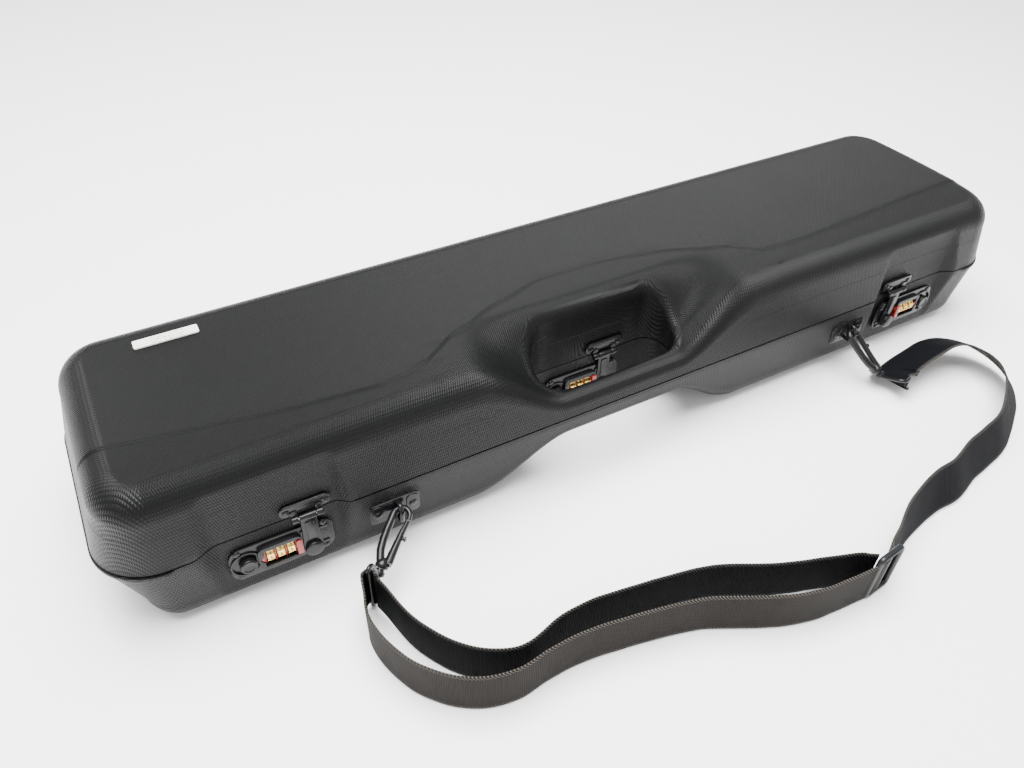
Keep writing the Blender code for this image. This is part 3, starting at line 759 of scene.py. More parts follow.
class Palette:
    """Every finish of the case."""

    def __init__(self) -> None:
        """Build the finishes."""
        effects = Effects()
        # Shell: its light colour is mostly the painted highlight on the emboss peaks, the rest random tone.
        self.shell = ShellFinish(
            "case_shell", (0.0014, 0.0015, 0.0015), (0.0060, 0.0063, 0.0062), 0.38, 0.10,
            specular=0.13).build(effects)
        self.metal = Finish(
            "black_metal", (0.004, 0.004, 0.0045), (0.008, 0.008, 0.009), 0.24, 0.16,
            coat=0.05, specular=0.22, coarse=160.0, fine=2400.0, bump=0.00002).build(effects)
        self.steel = Finish(
            "pin_steel", (0.42, 0.42, 0.44), (0.58, 0.58, 0.60), 0.32, 0.2, metallic=1.0,
            coarse=200.0).build(effects)
        self.brass = Finish(
            "brass_dial", (0.72, 0.45, 0.10), (0.95, 0.68, 0.22), 0.24, 0.2, metallic=1.0,
            coarse=420.0, fine=3000.0, bump=0.00001).build(effects)
        self.paint = Finish(
            "digit_paint", (0.010, 0.009, 0.008), (0.02, 0.018, 0.016), 0.5, 0.1).build(effects)
        self.red = Finish(
            "red_plastic", (0.20, 0.010, 0.007), (0.30, 0.020, 0.014), 0.34, 0.12, coat=0.2,
            coarse=120.0).build(effects)
        self.foam = Finish(
            "foam", (0.022, 0.023, 0.026), (0.052, 0.054, 0.060), 0.95, 0.06, coarse=60.0,
            fine=700.0, bump=0.0006, specular=0.15).build(effects)
        self.label = LabelFinish(
            "label", (0.62, 0.61, 0.58), (0.74, 0.73, 0.70), 0.62, 0.06, coarse=60.0).build(effects)
        # Both webbing finishes: their light colour is mostly the painted highlight on the raised weave.
        self.web_face = WebbingFinish(
            "webbing", (0.005, 0.0041, 0.0034), (0.026, 0.0215, 0.0180), 0.72, 0.1, coarse=30.0,
            fine=1500.0).build(effects)
        self.web_back = WebbingFinish(
            "webbing_back", (0.0006, 0.0007, 0.0013), (0.0018, 0.0020, 0.0036), 0.85, 0.1, coarse=30.0,
            fine=1500.0, edge=(0.05, 0.05, 0.052)).build(effects)
        self.thread = Finish(
            "stitch_thread", (0.22, 0.21, 0.19), (0.34, 0.33, 0.30), 0.8, 0.1, coarse=300.0).build(effects)
        self.slider = Finish(
            "slider_plastic", (0.003, 0.0034, 0.0042), (0.007, 0.008, 0.0095), 0.34, 0.16, specular=0.3,
            coarse=90.0, fine=2600.0, bump=0.00002).build(effects)
        self.floor = Finish(
            "floor", (0.93, 0.93, 0.93), (0.96, 0.96, 0.96), 0.75, 0.05, coarse=3.0).build(effects)


# ---------------------------------------------------------------- repeated pieces
def node_tree(name: str, sockets: dict[str, tuple[str, object]]) -> tuple[bpy.types.NodeTree, Graph]:
    """Start a Geometry Nodes tree with named inputs.

    Args:
        name: Name of the tree.
        sockets: Input name to (socket type, default).

    Returns:
        The tree and its graph.
    """
    tree = bpy.data.node_groups.new(name, "GeometryNodeTree")
    tree.interface.new_socket("Geometry", in_out="INPUT", socket_type="NodeSocketGeometry")
    for key, (kind, value) in sockets.items():
        socket = tree.interface.new_socket(key, in_out="INPUT", socket_type=kind)
        if value is not None:
            socket.default_value = value
    tree.interface.new_socket("Geometry", in_out="OUTPUT", socket_type="NodeSocketGeometry")
    return tree, Graph(tree)


def head_tree() -> bpy.types.NodeTree:
    """Low domed heads on every point of a mesh.

    Returns:
        The tree.
    """
    tree, graph = node_tree("Domed heads", {
        "Radius": ("NodeSocketFloat", 0.0025), "Rise": ("NodeSocketFloat", 0.001),
        "Finish": ("NodeSocketMaterial", None)})
    source, sink = graph.add("NodeGroupInput"), graph.add("NodeGroupOutput")
    ball = graph.add("GeometryNodeMeshUVSphere", {"Segments": 20, "Rings": 12, "Radius": 1.0})
    size = graph.add("ShaderNodeCombineXYZ", {
        0: source.outputs["Radius"], 1: source.outputs["Rise"], 2: source.outputs["Radius"]})
    spread = graph.add("GeometryNodeInstanceOnPoints", {
        "Points": source.outputs["Geometry"], "Instance": ball.outputs["Mesh"],
        "Scale": size.outputs[0]})
    dress_instances(tree, graph, spread, source, sink)
    return tree


def stitch_tree() -> bpy.types.NodeTree:
    """Short threads laid end to end along the edges of a mesh.

    Returns:
        The tree.
    """
    tree, graph = node_tree("Stitches", {
        "Pitch": ("NodeSocketFloat", 0.003), "Thickness": ("NodeSocketFloat", 0.0004),
        "Reach": ("NodeSocketFloat", 0.0012), "Finish": ("NodeSocketMaterial", None)})
    source, sink = graph.add("NodeGroupInput"), graph.add("NodeGroupOutput")
    line = graph.add("GeometryNodeMeshToCurve", {0: source.outputs["Geometry"]})
    points = graph.add("GeometryNodeCurveToPoints", {
        "Curve": line.outputs[0], "Length": source.outputs["Pitch"]}, mode="LENGTH")
    bead = graph.add("GeometryNodeMeshUVSphere", {"Segments": 8, "Rings": 6, "Radius": 1.0})
    size = graph.add("ShaderNodeCombineXYZ", {
        0: source.outputs["Thickness"], 1: source.outputs["Thickness"], 2: source.outputs["Reach"]})
    spread = graph.add("GeometryNodeInstanceOnPoints", {
        "Points": points.outputs[0], "Instance": bead.outputs["Mesh"],
        "Rotation": points.outputs["Rotation"], "Scale": size.outputs[0]})
    dress_instances(tree, graph, spread, source, sink)
    return tree


def dress_instances(tree: bpy.types.NodeTree, graph: Graph, spread: bpy.types.Node,
                    source: bpy.types.Node, sink: bpy.types.Node) -> None:
    """Make instances real and give them the tree's finish.

    Args:
        tree: The tree.
        graph: Its graph.
        spread: The node that places the instances.
        source: The tree's input node.
        sink: The tree's output node.
    """
    real = graph.add("GeometryNodeRealizeInstances", {0: spread.outputs[0]})
    dressed = graph.add("GeometryNodeSetMaterial", {
        "Geometry": real.outputs[0], "Material": source.outputs["Finish"]})
    tree.links.new(dressed.outputs[0], sink.inputs[0])


class Repeats:
    """Makes repeated small pieces with Geometry Nodes."""

    def __init__(self) -> None:
        """Build the trees once."""
        self.heads = head_tree()
        self.stitches = stitch_tree()

    def grow(self, name: str, tree: bpy.types.NodeTree, points: Sequence[Vector],
             edges: Sequence[tuple[int, int]], values: dict[str, object]) -> bpy.types.Object:
        """Grow a tree's pieces on points or lines and keep the plain mesh.

        Args:
            name: Name of the piece.
            tree: The tree.
            points: Points of the guide mesh.
            edges: Its edges.
            values: Input name to value.

        Returns:
            The new object.
        """
        mesh = bpy.data.meshes.new(name)
        mesh.from_pydata([tuple(p) for p in points], list(edges), [])
        made = bpy.data.objects.new(name, mesh)
        bpy.context.collection.objects.link(made)
        step = made.modifiers.new("repeats", "NODES")
        step.node_group = tree
        for item in tree.interface.items_tree:
            if item.in_out == "INPUT" and item.name in values:
                step[item.identifier] = values[item.name]
        settle(made)
        for polygon in made.data.polygons:
            polygon.use_smooth = True
        return made


# ---------------------------------------------------------------- shells
class Half(Enum):
    """Which moulded half."""

    LID = 1
    BASE = -1


Station = tuple[float, float, float | None]


@dataclass
class CaseBody:
    """Sizes and surfaces shared by the two moulded halves."""

    half_length: float = 0.418
    front: float = -0.0965
    back: float = 0.0995
    corner: float = 0.042
    parting: float = 0.065
    tall: dict[Half, float] = field(
        default_factory=lambda: {Half.LID: 0.062, Half.BASE: 0.065})
    crown: float = 0.0015
    wall: float = 0.003
    rim_gap: float = 0.0005
    lip_out: float = 0.0012
    lip_tall: float = 0.003
    shoulder: float = 0.021
    grip_round: float = 0.009
    side_draft: float = 0.005
    grip: dict[Half, float] = field(
        default_factory=lambda: {Half.LID: 0.0155, Half.BASE: 0.021})
    tunnel: Flat = (-0.0225, -0.05825)
    tunnel_half: Flat = (0.0645, 0.01925)
    tunnel_corner: float = 0.0165
    tunnel_round: float = 0.007
    scoop_x: Flat = (0.050, 0.130)
    scoop_y: Flat = (-0.0705, -0.0245)
    pocket_depth: float = 0.0067
    pocket_x: tuple[float, float, float, float] = (0.252, 0.264, 0.345, 0.363)
    stretch: float = 0.32
    end_draft: dict[Half, float] = field(
        default_factory=lambda: {Half.LID: 0.009, Half.BASE: 0.017})
    crease_low: float = 0.03
    crease_drop: float = 0.0008
    panel_drop: float = 0.0024
    no_crease: float = 0.05
    crease: tuple[Flat, ...] = (
        (-0.420, 0.066), (-0.398, 0.062), (-0.332, 0.051), (-0.268, 0.041), (-0.204, 0.036),
        (-0.175, 0.044), (-0.140, 0.065), (-0.094, 0.083), (-0.049, 0.095), (0.006, 0.094),
        (0.055, 0.086), (0.111, 0.067), (0.143, 0.046), (0.182, 0.044), (0.246, 0.048),
        (0.375, 0.056), (0.420, 0.059),
    )

    def stations(self) -> list[Station]:
        """Stations round the rim outline.

        Returns:
            (straight x, straight y, corner angle or None) for each.
        """
        half = self.half_length - self.corner
        front = [-half + 0.0029 * k for k in range(1, 260) if -half + 0.0029 * k < half - 0.001]
        rear = [half - 0.0085 * k for k in range(1, 95) if half - 0.0085 * k > -half + 0.004]
        low, high = self.front + self.corner, self.back - self.corner
        rise = [low + (high - low) * k / 20 for k in range(1, 20)]
        made: list[Station] = [(x, self.front, None) for x in front]
        made += [(half, low, a) for a in arc_angles(-90.0, 0.0, 16)]
        made += [(self.half_length, y, None) for y in rise]
        made += [(half, high, a) for a in arc_angles(0.0, 90.0, 16)]
        made += [(x, self.back, None) for x in rear]
        made += [(-half, high, a) for a in arc_angles(90.0, 180.0, 16)]
        made += [(-self.half_length, y, None) for y in reversed(rise)]
        made += [(-half, low, a) for a in arc_angles(180.0, 270.0, 16)]
        return made

    def pocket(self, x: float) -> float:
        """How far the front wall is set back at x, for the side latches.

        Args:
            x: Place along the case.

        Returns:
            The depth of the set-back.
        """
        inner0, inner1, outer0, outer1 = self.pocket_x
        side = abs(x)
        return self.pocket_depth * smooth_step(inner0, inner1, side) * (
            1.0 - smooth_step(outer0, outer1, side))

    def rim_point(self, station: Station, inset_x: float, inset_y: float, skin: float) -> Flat:
        """Point of the outline moved inwards.

        Args:
            station: Where on the outline.
            inset_x: Move along X.
            inset_y: Move along Y.
            skin: Wall taken off for the inner face.

        Returns:
            The flat point.
        """
        x, y, angle = station
        if angle is not None:
            return (x + (self.corner - inset_x - skin) * math.cos(angle),
                    y + (self.corner - inset_y - skin) * math.sin(angle))
        if y == self.front:
            return (x, self.front + max(inset_y, self.pocket(x)) + skin)
        if y == self.back:
            return (x, self.back - inset_y - skin)
        side = math.copysign(1.0, x)
        return (side * (self.half_length - inset_x - skin), y)

    def tunnel_point(self, phi: float, out: float) -> Flat:
        """Point of the grip opening's outline in direction phi, moved outwards.

        Args:
            phi: Direction from the opening's centre.
            out: Distance outwards from its outline.

        Returns:
            The flat point.
        """
        a, b = self.tunnel_half[0] + out, self.tunnel_half[1] + out
        r = self.tunnel_corner + out
        c, s = abs(math.cos(phi)), abs(math.sin(phi))
        reach = min(a / max(c, 1e-9), b / max(s, 1e-9))
        x, y = reach * c, reach * s
        if x > a - r and y > b - r:
            p, q = a - r, b - r
            half = p * c + q * s
            reach = half + math.sqrt(max(half * half - p * p - q * q + r * r, 0.0))
            x, y = reach * c, reach * s
        return (self.tunnel[0] + math.copysign(x, math.cos(phi)),
                self.tunnel[1] + math.copysign(y, math.sin(phi)))

    def fullness(self, x: float, y: float) -> float:
        """0 on the grip bar, 1 where the shell has its full height."""
        side = smooth_step(*self.scoop_x, abs(x - self.tunnel[0]))
        rear = smooth_step(*self.scoop_y, y)
        return 1.0 - (1.0 - side) * (1.0 - rear)

    def height(self, x: float, y: float, half: Half) -> float:
        """Height of a half's outer face above the parting plane.

        Args:
            x: Place along the case.
            y: Place across it.
            half: Which half.

        Returns:
            The height, the same way up for both halves.
        """
        across = (y - (self.front + self.back) / 2.0) / (
            (self.back - self.front) / 2.0 - self.shoulder)
        full = self.fullness(x, y)
        bulge = 0.0
        if half is Half.LID:
            side = self.crease_side(x, y)
            bulge = self.crown * max(1.0 - across * across, 0.0)
            bulge -= self.crease_drop * (1.0 - smooth_step(-0.004, 0.002, side))
            bulge -= self.panel_drop * smooth_step(0.0, 0.040, -side)
        return self.grip[half] + (self.tall[half] - self.grip[half] + bulge) * full

    def scoop_edge(self, start: Flat, end: Flat) -> float:
        """Share of the way inwards at which the surface starts to dip.

        Args:
            start: Where the way starts.
            end: Where it ends.

        Returns:
            The share, at most 0.8.
        """
        if self.fullness(*start) < 0.999:
            return 0.2
        low, high = 0.0, 1.0
        while high - low > 0.0005:
            middle = (low + high) / 2.0
            if self.fullness(*blend_flat(start, end, middle)) > 0.9985:
                low = middle
            else:
                high = middle
        return min(low, 0.8)

    def crease_side(self, x: float, y: float) -> float:
        """Distance behind the step that runs along the lid.

        Args:
            x: Place along the case.
            y: Place across it.

        Returns:
            The distance, negative in front of the step.
        """
        depth = y - self.front
        for (x0, y0), (x1, y1) in zip(self.crease, self.crease[1:]):
            if x0 <= x <= x1:
                t = (x - x0) / (x1 - x0)
                slope = (y1 - y0) / (x1 - x0)
                ease = t * t * (3.0 - 2.0 * t)
                line = y0 + (y1 - y0) * (0.5 * t + 0.5 * ease)
                return (depth - line) / math.hypot(1.0, slope)
        return depth - self.crease[-1][1]


@dataclass
class ShellHalf:
    """One moulded half of the case."""

    body: CaseBody
    half: Half
    palette: Palette

    def column(self, station: Station, skin: float) -> list[tuple[Point, Flat]]:
        """Points from the rim, over the top and down the opening, with their place on the sheet.

        Args:
            station: Where on the rim the column starts.
            skin: 0 for the outer face, the wall thickness for the inner one.

        Returns:
            (point with height above the parting, flat sheet place) pairs.
        """
        body, coarse = self.body, skin > 0.0
        end_draft = body.end_draft[self.half]
        rim = body.rim_point(station, 0.0, 0.0, 0.0)
        full = body.fullness(*body.rim_point(station, 0.012, 0.012, 0.0))
        radius = body.grip_round + (body.shoulder - body.grip_round) * full
        inner = body.rim_point(station, end_draft + radius, body.side_draft + radius, 0.0)
        shoulder = body.height(*inner, self.half) - radius
        share = shoulder / (body.tall[self.half] - body.shoulder)
        draft = (end_draft * share, body.side_draft * share)
        made: list[tuple[Point, Flat]] = []

        def put(flat: Flat, height: float) -> None:
            """Add one point; its sheet place is worked out afterwards."""
            made.append(((*flat, height), flat))

        lip = self.half is Half.BASE and not coarse
        if lip:
            for height in (body.rim_gap, body.rim_gap + 0.0004, body.rim_gap + body.lip_tall - 0.0006):
                grow = body.lip_out - (0.0004 if height == body.rim_gap else 0.0)
                put(body.rim_point(station, -grow, -grow, 0.0), height)
            put(body.rim_point(station, -0.0006, -0.0006, 0.0), body.rim_gap + body.lip_tall)
            put(body.rim_point(station, 0.0, 0.0, 0.0), body.rim_gap + body.lip_tall + 0.0002)
        else:
            put(body.rim_point(station, 0.0003, 0.0003, skin), body.rim_gap)
            put(body.rim_point(station, 0.0, 0.0, skin), body.rim_gap + 0.0004)
        lowest = made[-1][0][2]
        walls = 2 if coarse else 6
        for k in range(1, walls):
            t = k / walls
            put(body.rim_point(station, draft[0] * t, draft[1] * t, skin),
                lowest + (shoulder - lowest) * t)
        for a in arc_angles(0.0, 90.0, 6 if coarse else 14):
            spread = (radius - skin) * (1.0 - math.cos(a))
            put(body.rim_point(station, draft[0] + spread, draft[1] + spread, skin),
                shoulder + (radius - skin) * math.sin(a))
        start = made[-1][1]
        phi = math.atan2(rim[1] - body.tunnel[1], rim[0] - body.tunnel[0])
        edge = body.tunnel_point(phi, body.tunnel_round)
        flat_share = body.scoop_edge(start, edge)
        flats, dips = (3, 6) if coarse else (12, 26)
        shares = [flat_share * k / flats for k in range(1, flats)]
        shares += [flat_share + (1.0 - flat_share) * k / dips for k in range(dips)]
        for step in shares:
            px, py = blend_flat(start, edge, step)
            put((px, py), body.height(px, py, self.half) - skin)
        crest = body.height(*edge, self.half) - skin
        inner_round = body.tunnel_round - skin
        for b in arc_angles(0.0, 90.0, 3 if coarse else 10):
            put(body.tunnel_point(phi, skin + inner_round * (1.0 - math.sin(b))),
                crest - inner_round * (1.0 - math.cos(b)))
        lowest_wall = made[-1][0][2]
        for k in range(1, 3 if coarse else 6):
            t = k / (2 if coarse else 5)
            put(body.tunnel_point(phi, skin), lowest_wall + (body.rim_gap - lowest_wall) * t)
        return self.unroll(made, start, edge)

    def unroll(self, made: list[tuple[Point, Flat]], start: Flat, edge: Flat) -> list[tuple[Point, Flat]]:
        """Give each point its place on the flat sheet before moulding.

        Args:
            made: The column's points.
            start: Where the top begins.
            edge: Where the opening's rounding begins.

        Returns:
            The column with sheet places.
        """
        inward = Vector((edge[0] - start[0], edge[1] - start[1]))
        inward.normalize()
        points = [Vector(point) for point, _ in made]
        first = next(k for k, (_, flat) in enumerate(made) if flat == start)
        last = next(k for k, (_, flat) in enumerate(made) if (
            math.hypot(flat[0] - edge[0], flat[1] - edge[1]) < 1e-9))
        places = [flat for _, flat in made]
        travelled = 0.0
        for k in range(first - 1, -1, -1):
            travelled += (points[k] - points[k + 1]).length * self.body.stretch
            out = Vector((points[k][0] - start[0], points[k][1] - start[1]))
            out = out.normalized() if out.length > 1e-6 else -inward
            places[k] = (start[0] + out[0] * travelled, start[1] + out[1] * travelled)
        travelled = 0.0
        centre = Vector(self.body.tunnel)
        for k in range(last + 1, len(made)):
            travelled += (points[k] - points[k - 1]).length * self.body.stretch
            into = (centre - Vector(edge)).normalized()
            places[k] = (edge[0] + into[0] * travelled, edge[1] + into[1] * travelled)
        return [(point, place) for (point, _), place in zip(made, places)]

    def build(self) -> bpy.types.Object:
        """Make the half as one closed wall.

        Returns:
            The shell.
        """
        body, side = self.body, self.half.value
        points: list[Point] = []
        places: list[Flat] = []
        rows = 0
        for station in body.stations():
            outer = self.column(station, 0.0)
            inner = self.column(station, body.wall)
            column = outer + list(reversed(inner))
            rows = len(column)
            for (x, y, height), place in column:
                points.append((x, y, body.parting + side * height))
                places.append(place)
        columns = len(points) // rows
        faces = []
        for j in range(columns):
            here, there = j * rows, ((j + 1) % columns) * rows
            for i in range(rows):
                n = (i + 1) % rows
                quad = (here + i, there + i, there + n, here + n)
                faces.append(quad if side > 0 else tuple(reversed(quad)))
        mesh = bpy.data.meshes.new("shell")
        mesh.from_pydata(points, [], faces)
        sheet = mesh.uv_layers.new(name="sheet")
        sheet.data.foreach_set("uv", [c for loop in mesh.loops for c in places[loop.vertex_index]])
        crease = mesh.attributes.new("crease", "FLOAT", "POINT")
        lid = self.half is Half.LID
        crease.data.foreach_set("value", [
            body.crease_side(x, y) if lid and z > body.parting + body.crease_low else body.no_crease
            for x, y, z in points])
        name = "lid_moulding" if lid else "base_moulding"
        made = place_mesh(name, mesh, self.palette.shell, 40.0)
        carry(made, "case_lid" if lid else "case_base", "case_shell", "lid_shell" if lid else "base_shell")
        LOG.info("%s: %d faces", name, len(faces))
        return made


# ---------------------------------------------------------------- latches
@dataclass
class LatchPlace:
    """Local frame of one latch: u along the case, w out of the wall, v up."""

    name: str
    x: float
    face: float
    hand: float
    z: float = 0.0387

    def at(self, u: float, w: float, v: float) -> Vector:
        """Point in the row frame."""
        return Vector((self.x + self.hand * u, self.face - w, self.z + v))

    def slab(self, solids: SolidSet, outline: Iterable[Flat], low: float, high: float) -> None:
        """Add a plate between two distances from the wall."""
        outline = list(outline)
        solids.loft([[self.at(u, w, v) for u, v in outline] for w in (low, high)])

    def bar(self, solids: SolidSet, span: Flat, w: float, v: float, radius: float) -> None:
        """Add a round bar along the case."""
        solids.tube(self.at(span[0], w, v), self.at(span[1], w, v), radius)


@dataclass
class CombinationLatch:
    """Lock plate with wheels and button, and the hasp that hangs in front of it."""

    place: LatchPlace
    palette: Palette
    repeats: Repeats
    plate_u: Flat = (-0.0345, 0.0385)
    plate_half: float = 0.0150
    housing_u: Flat = (-0.0158, 0.0150)
    housing_half: float = 0.0112
    housing_w: float = 0.0052
    pitch: float = 0.0073
    wheel_half: float = 0.0027
    wheel_radius: float = 0.0066
    wheel_w: float = -0.0009
    button_u: float = -0.0228
    hasp_u: float = 0.0226
    hasp_v: float = 0.0258
    hasp_w: float = 0.0034
    boss_v: float = -0.0075
    window_u: Flat = (-0.0116, 0.0134)
    window_half: float = 0.0073
    arrow: float = 0.0028
    well_shift: float = 0.0010
    well_radius: float = 0.0098
    rim_radius: float = 0.0109
    digit_height: float = 0.0040
    ear_u: tuple[Flat, ...] = ((-0.0112, -0.0063), (0.0063, 0.0112))
    barrel: float = 0.0027

    def build(self) -> None:
        """Make every piece of the latch."""
        self.lock_plate()
        self.window()
        for k in (1, 2, 3):
            self.wheel(k)
        self.button()
        self.bracket()
        self.tongue()
        self.rivets()
        LOG.info("%s latch built", self.place.name)

    def window_outline(self, grow: float) -> list[Flat]:
        """Arrow-ended window round the wheels.

        Args:
            grow: How far it is moved outwards.

        Returns:
            The outline.
        """
        (u0, u1), v = self.window_u, self.window_half
        return [
            (u0 - grow, -v - grow), (u1 + grow, -v - grow), (u1 + grow, v + grow),
            (u0 - grow, v + grow), (u0 - grow, 0.0036), (u0 - self.arrow - grow, 0.0),
            (u0 - grow, -0.0036),
        ]

    def frame(self, solids: SolidSet, outer: Sequence[Flat], inner: Sequence[Flat], low: float,
              high: float) -> None:
        """Add a flat frame between two outlines with the same number of points.

        Args:
            solids: Where it is added.
            outer: Outer outline.
            inner: Inner outline.
            low: Distance of its back from the wall.
            high: Distance of its front.
        """
        loops = ((outer, low), (outer, high), (inner, high), (inner, low))
        solids.band([[self.place.at(u, w, v) for u, v in loop] for loop, w in loops])

    def lock_plate(self) -> None:
        """Plate, raised housing, crescent rim and button well."""
        place, name = self.place, self.place.name
        solids = SolidSet()
        plate = rounded_rectangle(
            (self.plate_u[0], -self.plate_half), (self.plate_u[1], self.plate_half), 0.0085)
        place.slab(solids, plate, 0.0003, 0.0019)
        self.frame(solids, self.matched_outline(), self.matched_window(0.0003), 0.0015, self.housing_w)
        rim, well = (
            [(self.button_u - self.well_shift + r * math.cos(a), r * math.sin(a))
             for a in arc_angles(0.0, 350.0, 35)]
            for r in (self.rim_radius, self.well_radius))
        self.frame(solids, rim, well, 0.0015, 0.0033)
        side = rounded_rectangle((0.0150, -0.0112), (0.0186, 0.0112), 0.0012, 4)
        place.slab(solids, side, 0.0015, 0.0030)
        for v in (-0.0080, 0.0080):
            place.slab(solids, rounded_rectangle((0.0290, v - 0.0012), (0.0350, v + 0.0012), 0.0011, 4),
                       0.0015, 0.0027)
        made = solids.finish(f"{name}_lock_case", self.palette.metal, 0.00045, 3)
        carry(made, "case_base", "black_metal", f"{name}_lock_plate")

    def matched_outline(self) -> list[Flat]:
        """Outline of the housing, point for point with the window.

        Returns:
            The outline.
        """
        window = self.matched_window(0.0)
        cu = (self.housing_u[0] + self.housing_u[1]) / 2.0
        half = (self.housing_u[1] - self.housing_u[0]) / 2.0
        made = []
        for u, v in window:
            du, dv = (u - cu) / 0.0135, v / self.window_half
            power = (abs(du) ** 7 + abs(dv) ** 7) ** (1.0 / 7.0)
            made.append((cu + du / power * half, dv / power * self.housing_half))
        return made

    def matched_window(self, grow: float) -> list[Flat]:
        """Window outline with extra points on its long sides.

        Args:
            grow: How far it is moved outwards.

        Returns:
            The outline, with as many points whatever grow is.
        """
        plain, corners = self.window_outline(0.0), self.window_outline(grow)
        made: list[Flat] = []
        for k, start in enumerate(corners):
            after = (k + 1) % len(corners)
            pieces = max(1, int(math.dist(plain[k], plain[after]) / 0.0014))
            made += [blend_flat(start, corners[after], i / pieces) for i in range(pieces)]
        return made

    def window(self) -> None:
        """Red insert between the wheels, and the red block at the hasp's end."""
        place, name = self.place, self.place.name
        solids = SolidSet()
        start, end = self.window_u
        edges, tall = [start], 0.0070
        for k in (-1, 0, 1):
            edges += [k * self.pitch - self.wheel_half - 0.0003, k * self.pitch + self.wheel_half + 0.0003]
        edges.append(end)
        for low, high in zip(edges[::2], edges[1::2]):
            place.slab(solids, [(low, -tall), (high, -tall), (high, tall), (low, tall)], 0.0018, 0.0028)
        place.slab(solids, [(start, -0.0034), (start, 0.0034), (start - 0.0026, 0.0)], 0.0023, 0.0047)
        place.slab(solids, rounded_rectangle((0.0108, -0.0066), (0.0150, 0.0066), 0.0008, 4), 0.0030, 0.0064)
        made = solids.finish(f"{name}_red_window", self.palette.red, 0.00025)
        carry(made, "case_base", "red_plastic", f"{name}_window_insert")

    def wheel(self, number: int) -> None:
        """One number wheel with ten flats and its digits.

        Args:
            number: Which wheel, from 1 to 3.
        """
        place, name = self.place, self.place.name
        u = (number - 2) * self.pitch
        solids = SolidSet()
        centre = place.at(u, self.wheel_w, 0.0)
        axis = Vector((place.hand, 0.0, 0.0))
        half, r = self.wheel_half, self.wheel_radius
        profile = [(-half, r - 0.0009), (-half + 0.0006, r - 0.0002), (-half + 0.0009, r - 0.0002),
                   (half - 0.0009, r - 0.0002), (half - 0.0006, r - 0.0002), (half, r - 0.0009)]
        solids.turned(centre, axis, profile, 20)
        for k in range(DIGITS):
            a = math.radians(FLAT_ANGLE * (k + 0.5))
            out = Vector((0.0, -math.cos(a), math.sin(a)))
            start = centre + out * (r - 0.0006)
            solids.tube(start - axis * (half - 0.0002), start + axis * (half - 0.0002), 0.00062, 8)
        made = solids.finish(f"{name}_wheel_{number}_brass", self.palette.brass, 0.00012)
        carry(made, f"{name}_wheel_{number}", "brass_dial", f"{name}_dial_{number}")
        digits = self.digits(number, centre)
        carry(digits, f"{name}_wheel_{number}", "brass_dial")

    def digits(self, number: int, centre: Vector) -> bpy.types.Object:
        """Painted digits round a wheel.

        Args:
            number: Which wheel.
            centre: Its centre.

        Returns:
            The digits as one mesh.
        """
        bm = bmesh.new()
        for k in range(DIGITS):
            text = bpy.data.curves.new("digit", "FONT")
            text.body = str((k + 3 * number) % DIGITS)
            text.size = self.digit_height
            text.align_x = "CENTER"
            text.align_y = "CENTER"
            text.extrude = 0.00008
            text.resolution_u = 2
            stand = bpy.data.objects.new("digit", text)
            bpy.context.collection.objects.link(stand)
            bpy.context.view_layer.update()
            shape = stand.to_mesh().copy()
            tilt = math.radians(FLAT_ANGLE * k)
            upright = Matrix.Rotation(math.radians(90.0), 4, "X")
            out = Matrix.Translation((0.0, -(self.wheel_radius - 0.00022), 0.0))
            turn = Matrix.Rotation(-tilt, 4, "X")
            shape.transform(Matrix.Translation(centre) @ turn @ out @ upright)
            bm.from_mesh(shape)
            bpy.data.objects.remove(stand, do_unlink=True)
        mesh = bpy.data.meshes.new("digits")
        bm.to_mesh(mesh)
        bm.free()
        return place_mesh(f"{self.place.name}_wheel_{number}_digits", mesh, self.palette.paint, 30.0)

    def button(self) -> None:
        """Round slide button with a recessed centre."""
        place, name = self.place, self.place.name
        solids = SolidSet()
        solids.turned(place.at(self.button_u, 0.0, 0.0), OUT_OF_FRONT, [
            (0.0022, 0.0056), (0.0030, 0.0062), (0.0060, 0.0062), (0.0069, 0.0054), (0.0069, 0.0044),
            (0.0063, 0.0038)], 44)
        made = solids.finish(f"{name}_push_button", self.palette.metal, 0.0003)
        carry(made, f"{name}_button", "black_metal", f"{name}_slide_button")

    def bracket(self) -> None:
        """Hasp bracket with two ears round the tongue's barrel."""
        place, name = self.place, self.place.name
        solids = SolidSet()
        u0, u1, top = 0.0044, 0.0408, 0.0390
        foot = self.hasp_v + 0.0032
        place.slab(solids, rounded_rectangle((u0, foot), (u1, top), 0.0048), 0.0003, 0.0019)
        lip = rounded_rectangle((u0 + 0.002, top - 0.0022), (u1 - 0.002, top - 0.0002), 0.0009, 4)
        place.slab(solids, lip, 0.0012, 0.0027)
        for low, high in self.ear_u:
            left, right = self.hasp_u + low, self.hasp_u + high
            ear = rounded_rectangle((left, self.hasp_v - 0.0004), (right, foot + 0.004), 0.0010, 4)
            place.slab(solids, ear, 0.0003, 0.0030)
            place.bar(solids, (left, right), self.hasp_w, self.hasp_v, self.barrel)
        made = solids.finish(f"{name}_hasp_plate", self.palette.metal, 0.0004, 3)
        carry(made, "case_lid", "black_metal", f"{name}_hasp_bracket")

